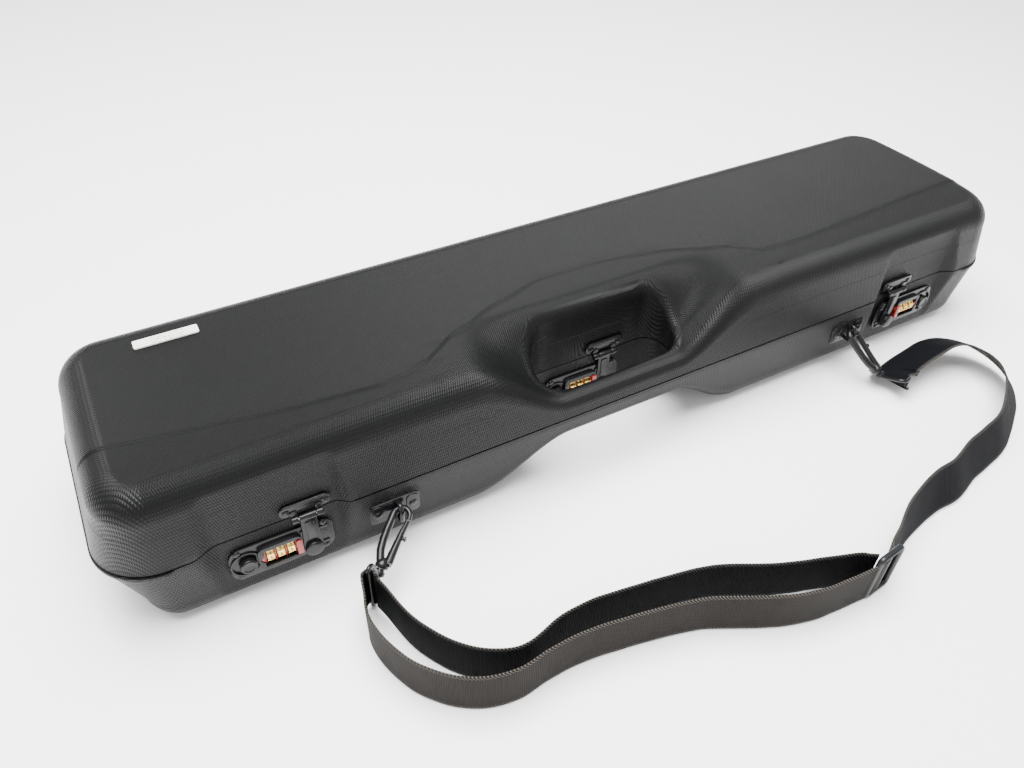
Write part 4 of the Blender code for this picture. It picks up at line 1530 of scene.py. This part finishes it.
    def tongue(self) -> None:
        """Hasp tongue with its barrel and round boss."""
        place, name = self.place, self.place.name
        solids = SolidSet()
        hu, hv, bv = self.hasp_u, self.hasp_v, self.boss_v
        outline = [(hu - 0.0057, hv + 0.0008), (hu - 0.0058, hv - 0.013), (hu - 0.0070, bv + 0.0042)]
        outline += [(hu - 0.0072 * math.cos(a), bv - 0.0072 * math.sin(a)) for a in arc_angles(0, 180, 18)]
        outline += [(hu + 0.0070, bv + 0.0042), (hu + 0.0058, hv - 0.013), (hu + 0.0057, hv + 0.0008)]
        place.slab(solids, outline, 0.0023, 0.0041)
        rib = rounded_rectangle((hu - 0.0030, bv + 0.0095), (hu + 0.0030, hv - 0.0050), 0.0014, 5)
        place.slab(solids, rib, 0.0036, 0.0049)
        place.bar(solids, (hu - 0.0059, hu + 0.0059), self.hasp_w, hv, self.barrel)
        solids.turned(place.at(hu, 0.0, bv), OUT_OF_FRONT, [
            (0.0035, 0.0066), (0.0062, 0.0066), (0.0070, 0.0058), (0.0072, 0.0040)], 44)
        made = solids.finish(f"{name}_tongue_plate", self.palette.metal, 0.0004, 3)
        carry(made, f"{name}_hasp", "black_metal", f"{name}_hasp_tongue")

    def rivets(self) -> None:
        """Domed rivet heads on the plate and on the bracket."""
        place, name = self.place, self.place.name
        sets = (
            ("lock_rivets", "case_base", [(u, v) for u in (-0.0283, 0.0318) for v in (-0.0119, 0.0119)]),
            ("hasp_rivets", "case_lid", [(0.0091, 0.0336), (0.0361, 0.0336)]),
        )
        for label, body, spots in sets:
            points = [place.at(u, 0.0019, v) for u, v in spots]
            made = self.repeats.grow(f"{name}_{label}", self.repeats.heads, points, [], {
                "Radius": 0.0027, "Rise": 0.0013, "Finish": self.palette.metal})
            carry(made, body, "black_metal")


# ---------------------------------------------------------------- strap hardware
@dataclass
class HookFrame:
    """Frame of a snap hook: p along it towards the bracket bar, q across, n through it."""

    name: str
    bar: Vector
    pull: Vector
    ring_way: Vector
    ring_wide: Vector
    slack: float = 0.0010
    stud_reach: float = 0.0442

    def __post_init__(self) -> None:
        """Work out the directions."""
        self.along = -self.pull.normalized()
        self.centre = self.bar - self.along * self.slack
        self.normal = (UP - UP.dot(self.along) * self.along).normalized()
        self.across = self.along.cross(self.normal)
        self.stud_end = self.centre - self.along * self.stud_reach
        self.way = self.ring_way.normalized()
        self.wide = (self.ring_wide - self.ring_wide.dot(self.way) * self.way).normalized()
        self.deep = self.way.cross(self.wide)

    def at(self, q: float, p: float, n: float = 0.0) -> Vector:
        """Point of the hook in the row frame."""
        return self.centre + self.across * q + self.along * p + self.normal * n

    def on_ring(self, wide: float, way: float, deep: float = 0.0) -> Vector:
        """Point of the swivel loop in the row frame."""
        return self.stud_end + self.wide * wide + self.way * way + self.deep * deep


@dataclass
class SnapHook:
    """Cast hook with its gate and swivel loop."""

    frame: HookFrame
    palette: Palette
    bend: float = 0.0062
    ring_half: float = 0.0208
    ring_reach: float = 0.0115
    ring_corner: float = 0.0030

    def build(self) -> None:
        """Make the hook, the gate and the loop."""
        frame, name = self.frame, self.frame.name
        solids = SolidSet()
        path = [frame.at(-0.0010, -0.0365), frame.at(-0.0032, -0.0325), frame.at(-0.0052, -0.0270),
                frame.at(-0.0061, -0.0200), frame.at(-0.0063, -0.0120)]
        bend = self.bend
        path += [frame.at(-bend * math.cos(a), bend * math.sin(a)) for a in arc_angles(-8, 168, 14)]
        path += [frame.at(0.0064, -0.0014)]
        solids.swept(path, frame.normal,
                     lambda s: (0.0017 + 0.0014 * (1.0 - s), 0.0021 + 0.0013 * (1.0 - s)))
        solids.turned(frame.at(0.0, -0.0392), frame.along, [
            (0.0, 0.0042), (0.0012, 0.0050), (0.0030, 0.0050), (0.0052, 0.0040), (0.0075, 0.0026)], 28)
        heel = [frame.at(-0.0015, -0.0345), frame.at(0.0030, -0.0345), frame.at(0.0060, -0.0350)]
        solids.swept(heel, frame.normal, lambda s: (0.0019, 0.0022))
        made = solids.finish(f"{name}_hook_casting", self.palette.metal, 0.0)
        carry(made, f"{name}_hook", "black_metal", f"{name}_snap_hook")
        self.gate()
        self.loop()
        LOG.info("%s hook built", name)

    def gate(self) -> None:
        """Sprung gate with a thumb stud."""
        frame, name = self.frame, self.frame.name
        solids = SolidSet()
        solids.swept([frame.at(0.0036, -0.0340), frame.at(0.0040, -0.0250), frame.at(0.0048, -0.0120),
                      frame.at(0.0060, -0.0026)], frame.normal, lambda s: (0.0034 - 0.0018 * s, 0.0026))
        solids.turned(frame.at(0.0062, -0.0150), frame.across, [
            (0.0, 0.0012), (0.0020, 0.0012), (0.0022, 0.0020), (0.0032, 0.0018), (0.0034, 0.0010)], 18)
        made = solids.finish(f"{name}_gate_lever", self.palette.metal, 0.0)
        carry(made, f"{name}_gate", "black_metal", f"{name}_hook_gate")

    def loop(self) -> None:
        """Swivel stud and the flat loop for the webbing."""
        frame, name = self.frame, self.frame.name
        solids = SolidSet()
        solids.turned(frame.at(0.0, -0.0395), -frame.along, [
            (0.0, 0.0030), (0.0014, 0.0030), (0.0018, 0.0040), (0.0040, 0.0042), (0.0052, 0.0034),
            (0.0058, 0.0018)], 28)
        half, bar, radius = self.ring_half, -self.ring_reach, self.ring_corner
        corners = [(-half, bar), (half, bar), (half - 0.0010, bar + 0.0056), (0.0042, -0.0008),
                   (-0.0042, -0.0008), (-half + 0.0010, bar + 0.0056)]
        path: list[Vector] = []
        for k, here in enumerate(corners):
            before, after = corners[k - 1], corners[(k + 1) % len(corners)]
            first = blend_flat(here, before, min(radius / math.dist(here, before), 0.45))
            last = blend_flat(here, after, min(radius / math.dist(here, after), 0.45))
            for i in range(7):
                t = i / 6
                path.append(frame.on_ring(*blend_flat(
                    blend_flat(first, here, t), blend_flat(here, last, t), t)))
        solids.swept(path, frame.deep, lambda s: (0.0016, 0.0017), 14, closed=True)
        made = solids.finish(f"{name}_swivel_loop", self.palette.metal, 0.0)
        carry(made, f"{name}_swivel", "black_metal", f"{name}_swivel_eye")


@dataclass
class StrapBracket:
    """Riveted plate with the bar that the hook clips round."""

    frame: HookFrame
    centre_x: float
    palette: Palette
    repeats: Repeats
    face: float = -0.0968
    z: float = 0.0435
    half_length: float = 0.0192
    half_height: float = 0.0095
    pad: float = 0.0135
    pad_half: float = 0.0048
    bend: float = 0.0030
    reach: float = 0.0077

    def build(self) -> None:
        """Make the plate, its bar and its rivets."""
        name, x = self.frame.name, self.frame.bar.x
        solids = SolidSet()
        low, high = self.z - self.half_height, self.z + self.half_height
        outline = rounded_rectangle(
            (self.centre_x - self.half_length, low), (self.centre_x + self.half_length, high), 0.0034)
        solids.loft([[Vector((px, y, pz)) for px, pz in outline] for y in (self.face, self.face - 0.0016)])
        out = self.frame.bar.y
        for side in (-1.0, 1.0):
            middle = self.centre_x + side * self.pad
            outline = rounded_rectangle(
                (middle - self.pad_half, low + 0.0012), (middle + self.pad_half, high - 0.0012), 0.0036)
            solids.loft([[Vector((px, y, pz)) for px, pz in outline]
                         for y in (self.face - 0.001, self.face - 0.0024)])
        bend, foot = self.bend, self.z - self.reach
        path = [Vector((x, self.face - 0.0006, foot)), Vector((x, self.face - 0.0050, foot))]
        path += [Vector((x, out + bend - bend * math.sin(a), foot + bend - bend * math.cos(a)))
                 for a in arc_angles(0, 90, 6)]
        path += [Vector((p.x, p.y, 2 * self.z - p.z)) for p in reversed(path)]
        solids.swept(path, ALONG_CASE, lambda s: (0.0016, 0.0018))
        made = solids.finish(f"{name}_bracket_plate", self.palette.metal, 0.0004, 3)
        carry(made, "case_base", "black_metal", f"{name}_strap_bracket")
        spots = [Vector((self.centre_x + side * self.pad, self.face - 0.0024, self.z))
                 for side in (-1.0, 1.0)]
        heads = self.repeats.grow(f"{name}_bracket_rivets", self.repeats.heads, spots, [], {
            "Radius": 0.0032, "Rise": 0.0014, "Finish": self.palette.metal})
        carry(heads, "case_base", "black_metal")


# ---------------------------------------------------------------- shoulder strap
# Centre line of the webbing: x, distance in front of the case, height of the centre, and how
# far its upper edge leans to the left of the way it runs, in degrees from upright.
LEFT_ROUTE = (
    (-0.2668, 0.0452, 0.0234, 0), (-0.2695, 0.0560, 0.0222, 0), (-0.2730, 0.0700, 0.0206, 0),
    (-0.2715, 0.0880, 0.0200, 0), (-0.2625, 0.1130, 0.0200, 0), (-0.2470, 0.1330, 0.0200, 0),
    (-0.2280, 0.1460, 0.0200, 0), (-0.2050, 0.1515, 0.0200, 0), (-0.1800, 0.1490, 0.0200, 0),
    (-0.1550, 0.1490, 0.0200, 0), (-0.1280, 0.1530, 0.0200, 0), (-0.0980, 0.1590, 0.0200, 0),
    (-0.0690, 0.1670, 0.0200, 0), (-0.0450, 0.1790, 0.0200, 0), (-0.0200, 0.1910, 0.0200, 0),
    (0.0050, 0.1985, 0.0200, 0), (0.0280, 0.2010, 0.0200, 0), (0.0480, 0.2025, 0.0200, 0),
)
RETURN_ROUTE = (
    (-0.2582, 0.0482, 0.0232, 0), (-0.2550, 0.0600, 0.0220, 0), (-0.2500, 0.0820, 0.0205, 0),
    (-0.2405, 0.1030, 0.0200, 0), (-0.2265, 0.1220, 0.0200, 0), (-0.2080, 0.1350, 0.0200, 0),
    (-0.1900, 0.1385, 0.0200, 0), (-0.1640, 0.1320, 0.0200, 0), (-0.1390, 0.1310, 0.0200, 0),
    (-0.1170, 0.1340, 0.0200, 0), (-0.0870, 0.1390, 0.0200, 0), (-0.0570, 0.1455, 0.0200, 0),
    (-0.0380, 0.1530, 0.0200, 0), (-0.0200, 0.1625, 0.0200, 0), (-0.0010, 0.1710, 0.0200, 0),
    (0.0220, 0.1790, 0.0200, 0), (0.0470, 0.1880, 0.0200, 0),
)
RIGHT_ROUTE = (
    (0.0790, 0.1920, 0.0200, 4), (0.0950, 0.1860, 0.0200, 8), (0.1160, 0.1770, 0.0200, 14),
    (0.1400, 0.1700, 0.0198, 18), (0.1630, 0.1655, 0.0196, 22), (0.1880, 0.1640, 0.0194, 25),
    (0.2150, 0.1560, 0.0194, 25), (0.2400, 0.1515, 0.0194, 25), (0.2680, 0.1450, 0.0194, 25),
    (0.3000, 0.1280, 0.0190, 28), (0.3250, 0.1100, 0.0186, 34), (0.3390, 0.0900, 0.0190, 42),
    (0.3410, 0.0720, 0.0210, 50), (0.3340, 0.0560, 0.0240, 57), (0.3200, 0.0465, 0.0265, 61),
    (0.3040, 0.0430, 0.0265, 63), (0.2880, 0.0430, 0.0235, 63), (0.2730, 0.0430, 0.0195, 63),
    (0.2600, 0.0440, 0.0160, 63), (0.2550, 0.0458, 0.0148, 63),
)
# The turns of the webbing round the two swivel loops, and its way through the slider.
LEFT_THREAD = (
    (0.0545, 0.2030, 0.0200, 0), (0.0610, 0.2022, 0.0200, 0), (0.0680, 0.1988, 0.0200, 1),
    (0.0740, 0.1952, 0.0200, 2),
)
RETURN_THREAD = ((0.0530, 0.1918, 0.0200, 0), (0.0585, 0.1955, 0.0200, 0))
LEFT_TURN = (
    (-0.2582, 0.0474, 0.0234, 0), (-0.2578, 0.0450, 0.0234, 0), (-0.2590, 0.0422, 0.0234, 0),
    (-0.2622, 0.0408, 0.0234, 0), (-0.2653, 0.0424, 0.0234, 0),
)
RIGHT_THREAD = ((0.0722, 0.1958, 0.0200, 1),)
RIGHT_TURN = (
    (0.2502, 0.0463, 0.0166, 63), (0.2455, 0.0470, 0.0174, 63), (0.2420, 0.0478, 0.0152, 63),
    (0.2413, 0.0480, 0.0118, 63),
)


@dataclass
class ShoulderStrap:
    """Webbing in three stretches, with its slider and its stitching."""

    palette: Palette
    repeats: Repeats
    front: float = -0.0965
    width: float = 0.038
    thickness: float = 0.0016
    strips: int = 10
    steps: int = 9
    blend_places: tuple[int, int] = (1, 30)
    path_stride: int = 3
    slider_at: Point = (0.0630, -0.2010, 0.0228)
    slider_turn: float = 6.0
    slider_half: Flat = (0.0115, 0.0206)
    seam_half: float = 0.016
    seam_places: tuple[int, int] = (-8, -13)

    def frames(self, route: Sequence[Sequence[float]]) -> list[tuple[Vector, Vector, Vector]]:
        """Centre, width direction and thickness direction along a route.

        Args:
            route: The route's points.

        Returns:
            One (centre, wide, thick) for each place.
        """
        curve = smooth_route([(x, self.front - y, z, lean) for x, y, z, lean in route], self.steps)
        centres = [Vector(point[:3]) for point in curve]
        made = []
        for k, point in enumerate(curve):
            ahead = (centres[min(k + 1, len(curve) - 1)] - centres[max(k - 1, 0)]).normalized()
            left = Vector((-ahead.y, ahead.x, 0.0)).normalized()
            lean = math.radians(point[3])
            wide = left * math.sin(lean) + UP * math.cos(lean)
            wide = (wide - wide.dot(ahead) * ahead).normalized()
            made.append((centres[k], wide, ahead.cross(wide).normalized()))
        return made

    def section(self) -> list[Flat]:
        """Section of the webbing: both faces in strips, and its bevelled edges.

        Returns:
            The section's points, across and through it.
        """
        half, edge, strips = self.width / 2.0, self.thickness / 2.0, self.strips
        inner = half - WEB_EDGE_TAPER
        low = [(-half + WEB_EDGE_TAPER + 2 * inner * k / strips, -edge) for k in range(strips + 1)]
        high = [(-v, edge) for v, _ in low]
        side = edge * 0.4
        return [*low, (half, -side), (half, side), *high, (-half, side), (-half, -side)]

    def ribbon(self, name: str, frames: Sequence[tuple[Vector, Vector, Vector]],
               face_left: bool) -> bpy.types.Mesh:
        """Closed mesh of the webbing, with its cloth coordinates and its two finishes.

        Args:
            name: Name of the mesh.
            frames: Its frames along the route.
            face_left: Whether the ribbed face is on the left of the way it runs.

        Returns:
            The mesh.
        """
        ring, strips = self.section(), self.strips
        points, places, distance = [], [], 0.0
        previous = frames[0][0]
        for centre, wide, thick in frames:
            distance += (centre - previous).length
            previous = centre
            for v, t in ring:
                ripple = 0.00012 * math.sin(distance * 260.0) * math.cos(v * 120.0)
                points.append(tuple(centre + wide * v + thick * (t + ripple)))
                places.append((distance, v))
        count, faces, slots = len(ring), [], []
        back_faces = range(0, strips) if face_left else range(strips + 3, 2 * strips + 3)
        for k in range(len(frames) - 1):
            for i in range(count):
                n = (i + 1) % count
                faces.append((k * count + i, k * count + n, (k + 1) * count + n, (k + 1) * count + i))
                slots.append(1 if i in back_faces else 0)
        faces.append(tuple(reversed(range(count))))
        faces.append(tuple((len(frames) - 1) * count + i for i in range(count)))
        mesh = bpy.data.meshes.new(name)
        mesh.from_pydata(points, [], faces)
        cloth = mesh.uv_layers.new(name="cloth")
        cloth.data.foreach_set("uv", [c for loop in mesh.loops for c in places[loop.vertex_index]])
        for finish in (self.palette.web_face, self.palette.web_back):
            mesh.materials.append(finish)
        mesh.polygons.foreach_set("material_index", [*slots, 0, 0])
        bm = bmesh.new()
        bm.from_mesh(mesh)
        bmesh.ops.recalc_face_normals(bm, faces=bm.faces)
        bm.to_mesh(mesh)
        bm.free()
        return mesh

    def run(self, name: str, node: str, route: Sequence[Sequence[float]], face_left: bool,
            flip: bool) -> None:
        """One stretch of webbing.

        Args:
            name: Name of the piece.
            node: The CAD node it stands for.
            route: Its route.
            face_left: Whether the ribbed face is on the left of the way it runs.
            flip: Whether the hook is at the end of the route rather than its start.
        """
        frames = self.frames(route)
        made = place_mesh(name, self.ribbon(name, frames, face_left), self.palette.web_face, 50.0)
        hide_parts(node)
        line = [centre for centre, _, _ in frames]
        if flip:
            line.reverse()
        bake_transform(made)

    def slider(self) -> None:
        """Three-bar slider that stands on its long edge."""
        x, out, z = self.slider_at
        centre = Vector((x, self.front + out, z))
        turn = Matrix.Rotation(math.radians(self.slider_turn), 4, "Z")
        solids = SolidSet()
        half_x, half_z = self.slider_half
        corner = rounded_rectangle((-half_x, -half_z), (half_x, half_z), 0.0028, 6)
        path = [centre + turn @ Vector((x, 0.0, z)) for x, z in corner]
        side = turn @ Vector((0.0, 1.0, 0.0))
        solids.swept(path, side, lambda s: (0.0020, 0.0024), 12, closed=True)
        solids.swept([centre + turn @ Vector((0.0, 0.0, z)) for z in (-half_z, -0.01, 0.0, 0.01, half_z)],
                     side, lambda s: (0.0015, 0.0016), 12)
        made = solids.finish("slider_frame", self.palette.slider, 0.0)
        carry(made, "case_base", "slider_plastic", "strap_slider")

    def stitches(self) -> None:
        """Two rows of thread across the sewn tail."""
        frames = self.frames(RETURN_ROUTE)
        points, edges, pieces = [], [], 12
        for centre, wide, thick in (frames[place] for place in self.seam_places):
            first = len(points)
            for k in range(pieces + 1):
                v = self.seam_half * (2.0 * k / pieces - 1.0)
                points.append(centre + wide * v - thick * (self.thickness / 2.0 + 0.0001))
            edges += [(first + k, first + k + 1) for k in range(pieces)]
        made = self.repeats.grow("tail_stitching", self.repeats.stitches, points, edges, {
            "Pitch": 0.0026, "Thickness": 0.0003, "Reach": 0.0010, "Finish": self.palette.thread})
        carry(made, "case_base", "webbing")

    def build(self) -> None:
        """Make the whole strap."""
        near = LEFT_TURN + LEFT_ROUTE + LEFT_THREAD
        inner = RETURN_ROUTE + RETURN_THREAD
        long = RIGHT_THREAD + RIGHT_ROUTE + RIGHT_TURN
        self.run("strap_near_ply", "strap_left_run", near, True, False)
        self.run("strap_inner_ply", "strap_return_run", inner, False, False)
        self.run("strap_long_run", "strap_right_run", long, False, True)
        self.slider()
        self.stitches()


# ---------------------------------------------------------------- liners, hinges and label
@dataclass
class CarriedPieces:
    """CAD pieces whose shape is kept, with softened edges."""

    palette: Palette
    label_sunk: float = 0.0006
    label_proud: float = 0.0002

    def copy(self, node: str, name: str, body: str, slot: str, material: bpy.types.Material,
             rounding: float) -> None:
        """Put a softened copy in place of a CAD node.

        Args:
            node: The CAD node.
            name: Name of the piece.
            body: Body that it rides on.
            slot: Material slot of the record.
            material: Its finish.
            rounding: Width of its edge rounding.
        """
        bm = bmesh.new()
        bm.from_mesh(bpy.data.objects[node].data)
        bmesh.ops.remove_doubles(bm, verts=bm.verts, dist=0.00002)
        bmesh.ops.dissolve_limit(bm, angle_limit=math.radians(1.0), verts=bm.verts, edges=bm.edges)
        mesh = bpy.data.meshes.new(name)
        bm.to_mesh(mesh)
        bm.free()
        made = place_mesh(name, mesh, material)
        soften_edges(made, rounding, 3)
        carry(made, body, slot, node)

    def label(self) -> None:
        """Paper label stuck on the lid."""
        low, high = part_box("blank_label")
        outline = rounded_rectangle((low[0], low[1]), (high[0], high[1]), 0.0012, 5)
        solids = SolidSet()
        levels = (low[2] - self.label_sunk, high[2] + self.label_proud)
        solids.loft([[Vector((x, y, z)) for x, y in outline] for z in levels])
        made = solids.finish("paper_label", self.palette.label, 0.0)
        layer = made.data.uv_layers.new(name="label")
        for loop in made.data.loops:
            co = made.data.vertices[loop.vertex_index].co
            layer.data[loop.index].uv = (co.x - low[0], co.y - low[1])
        carry(made, "case_lid", "label", "blank_label")

    def build(self) -> None:
        """Make the liners, the hinges and the label."""
        palette = self.palette
        for part in ("rear_rail", "middle_rail", "front_rail", "left_block", "right_block"):
            self.copy(f"foam_{part}", f"{part}_liner", "case_base", "foam", palette.foam, 0.0018)
        self.copy("lid_foam", "lid_liner", "case_lid", "foam", palette.foam, 0.0030)
        for k in (1, 2, 3):
            for half, place in (("base", "lower"), ("lid", "upper")):
                self.copy(f"hinge_{k}_{half}_leaf", f"hinge_{k}_{place}", f"case_{half}", "black_metal",
                          palette.metal, 0.0003)
        self.label()
        LOG.info("liners, hinges and label built")


def dress_kept_nodes(palette: Palette) -> None:
    """Give every CAD node that stays its finish.

    Args:
        palette: The finishes.
    """
    finishes = {
        "case_shell": palette.shell, "black_metal": palette.metal, "pin_steel": palette.steel,
        "brass_dial": palette.brass, "red_plastic": palette.red, "foam": palette.foam,
        "label": palette.label, "webbing": palette.web_face, "slider_plastic": palette.slider,
    }
    for entry in FRAME["record"]["subparts"]:
        kept = bpy.data.objects.get(entry["node"])
        if kept is None or kept.type != "MESH":
            continue
        for slot in kept.material_slots:
            slot.material = finishes[entry["material_slot"]]


# ---------------------------------------------------------------- studio
@dataclass
class Studio:
    """Floor, lights and camera."""

    palette: Palette
    eye: Point = (-0.347, -0.4775, 0.510)
    elevation: float = 41.46
    heading: float = 29.84
    roll: float = 1.33
    lens: float = 29.38
    floor_half: float = 6.0
    world_light: float = 1.15

    def floor(self) -> None:
        """Plain pale floor."""
        mesh = bpy.data.meshes.new("floor")
        half = self.floor_half
        corners = [(-half, -half, 0.0), (half, -half, 0.0), (half, half, 0.0), (-half, half, 0.0)]
        mesh.from_pydata(corners, [], [(0, 1, 2, 3)])
        place_mesh("floor", mesh, self.palette.floor)

    def light(self, name: str, place: Point, target: Point, size: float, power: float) -> None:
        """Soft square lamp.

        Args:
            name: Name of the lamp.
            place: Where it stands.
            target: What it points at.
            size: Edge length.
            power: Power in watts.
        """
        data = bpy.data.lights.new(name, "AREA")
        data.energy = power
        data.size = size
        lamp = bpy.data.objects.new(name, data)
        lamp.location = place
        lamp.rotation_euler = (Vector(target) - Vector(place)).to_track_quat("-Z", "Y").to_euler()
        bpy.context.collection.objects.link(lamp)

    def build(self) -> None:
        """Set up the studio."""
        self.floor()
        world = bpy.data.worlds.new("studio")
        bpy.context.scene.world = world
        world.use_nodes = True
        sky = world.node_tree.nodes["Background"]
        sky.inputs["Color"].default_value = (1.0, 1.0, 1.0, 1.0)
        sky.inputs["Strength"].default_value = self.world_light
        self.light("overhead", (-0.15, 0.05, 1.7), (-0.05, 0.0, 0.0), 1.5, 165.0)
        self.light("front", (-1.0, -1.5, 1.1), (-0.1, -0.1, 0.05), 1.0, 6.0)
        camera = bpy.data.objects.new("camera", bpy.data.cameras.new("camera"))
        camera.data.lens = self.lens
        camera.data.sensor_width = 36.0
        camera.data.clip_start = 0.01
        turn = Matrix.Rotation(math.radians(-self.heading), 4, "Z")
        tilt = Matrix.Rotation(math.radians(90.0 - self.elevation), 4, "X")
        lean = Matrix.Rotation(math.radians(self.roll), 4, "Z")
        camera.matrix_world = Matrix.Translation(self.eye) @ turn @ tilt @ lean
        bpy.context.collection.objects.link(camera)
        bpy.context.scene.camera = camera


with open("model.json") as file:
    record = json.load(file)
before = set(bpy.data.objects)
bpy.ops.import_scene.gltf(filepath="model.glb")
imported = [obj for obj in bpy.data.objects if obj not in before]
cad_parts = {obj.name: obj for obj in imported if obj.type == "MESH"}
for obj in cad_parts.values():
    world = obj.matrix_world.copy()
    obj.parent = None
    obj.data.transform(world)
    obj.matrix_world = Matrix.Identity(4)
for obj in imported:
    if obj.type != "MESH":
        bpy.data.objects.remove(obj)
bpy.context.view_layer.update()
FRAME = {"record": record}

SIDE_LATCH_X = 0.307
CENTRE_LATCH_X = -0.031
BRACKET_X = 0.2238
# Bar that a hook hangs on: its distance in front of the case and its height.
BAR_OUT = 0.0098
BAR_Z = 0.0435


def hook_frames(front: float) -> list[HookFrame]:
    """Frames of both snap hooks as they lie.

    Args:
        front: Where the front wall is.

    Returns:
        The left frame and the right one.
    """
    bar_y = front - BAR_OUT
    return [
        HookFrame("left", Vector((-0.2220, bar_y, BAR_Z)), Vector((-0.0351, -0.0305, -0.0209)),
                  Vector((0.755, 0.656, 0.0)), UP),
        HookFrame("right", Vector((0.2240, bar_y, BAR_Z)), Vector((0.0120, -0.0372, -0.0310)),
                  Vector((-0.93, 0.30, 0.20)), Vector((-0.15, -0.87, 0.46))),
    ]


def main() -> None:
    """Build every piece."""
    logging.basicConfig(level=logging.INFO, format="%(name)s: %(message)s")
    palette, repeats = Palette(), Repeats()
    Studio(palette).build()
    ShoulderStrap(palette, repeats).build()
    body = CaseBody()
    for half in Half:
        ShellHalf(body, half, palette).build()
    side_face = body.front + body.pocket_depth
    tunnel_face = body.tunnel[1] + body.tunnel_half[1]
    for place in (
        LatchPlace("left", -SIDE_LATCH_X, side_face, 1.0),
        LatchPlace("centre", CENTRE_LATCH_X, tunnel_face, 1.0),
        LatchPlace("right", SIDE_LATCH_X, side_face, -1.0),
    ):
        CombinationLatch(place, palette, repeats).build()
    for frame, centre_x in zip(hook_frames(body.front), (-BRACKET_X, BRACKET_X)):
        SnapHook(frame, palette).build()
        StrapBracket(frame, centre_x, palette, repeats).build()
    CarriedPieces(palette).build()
    dress_kept_nodes(palette)


if __name__ == "__main__":
    main()
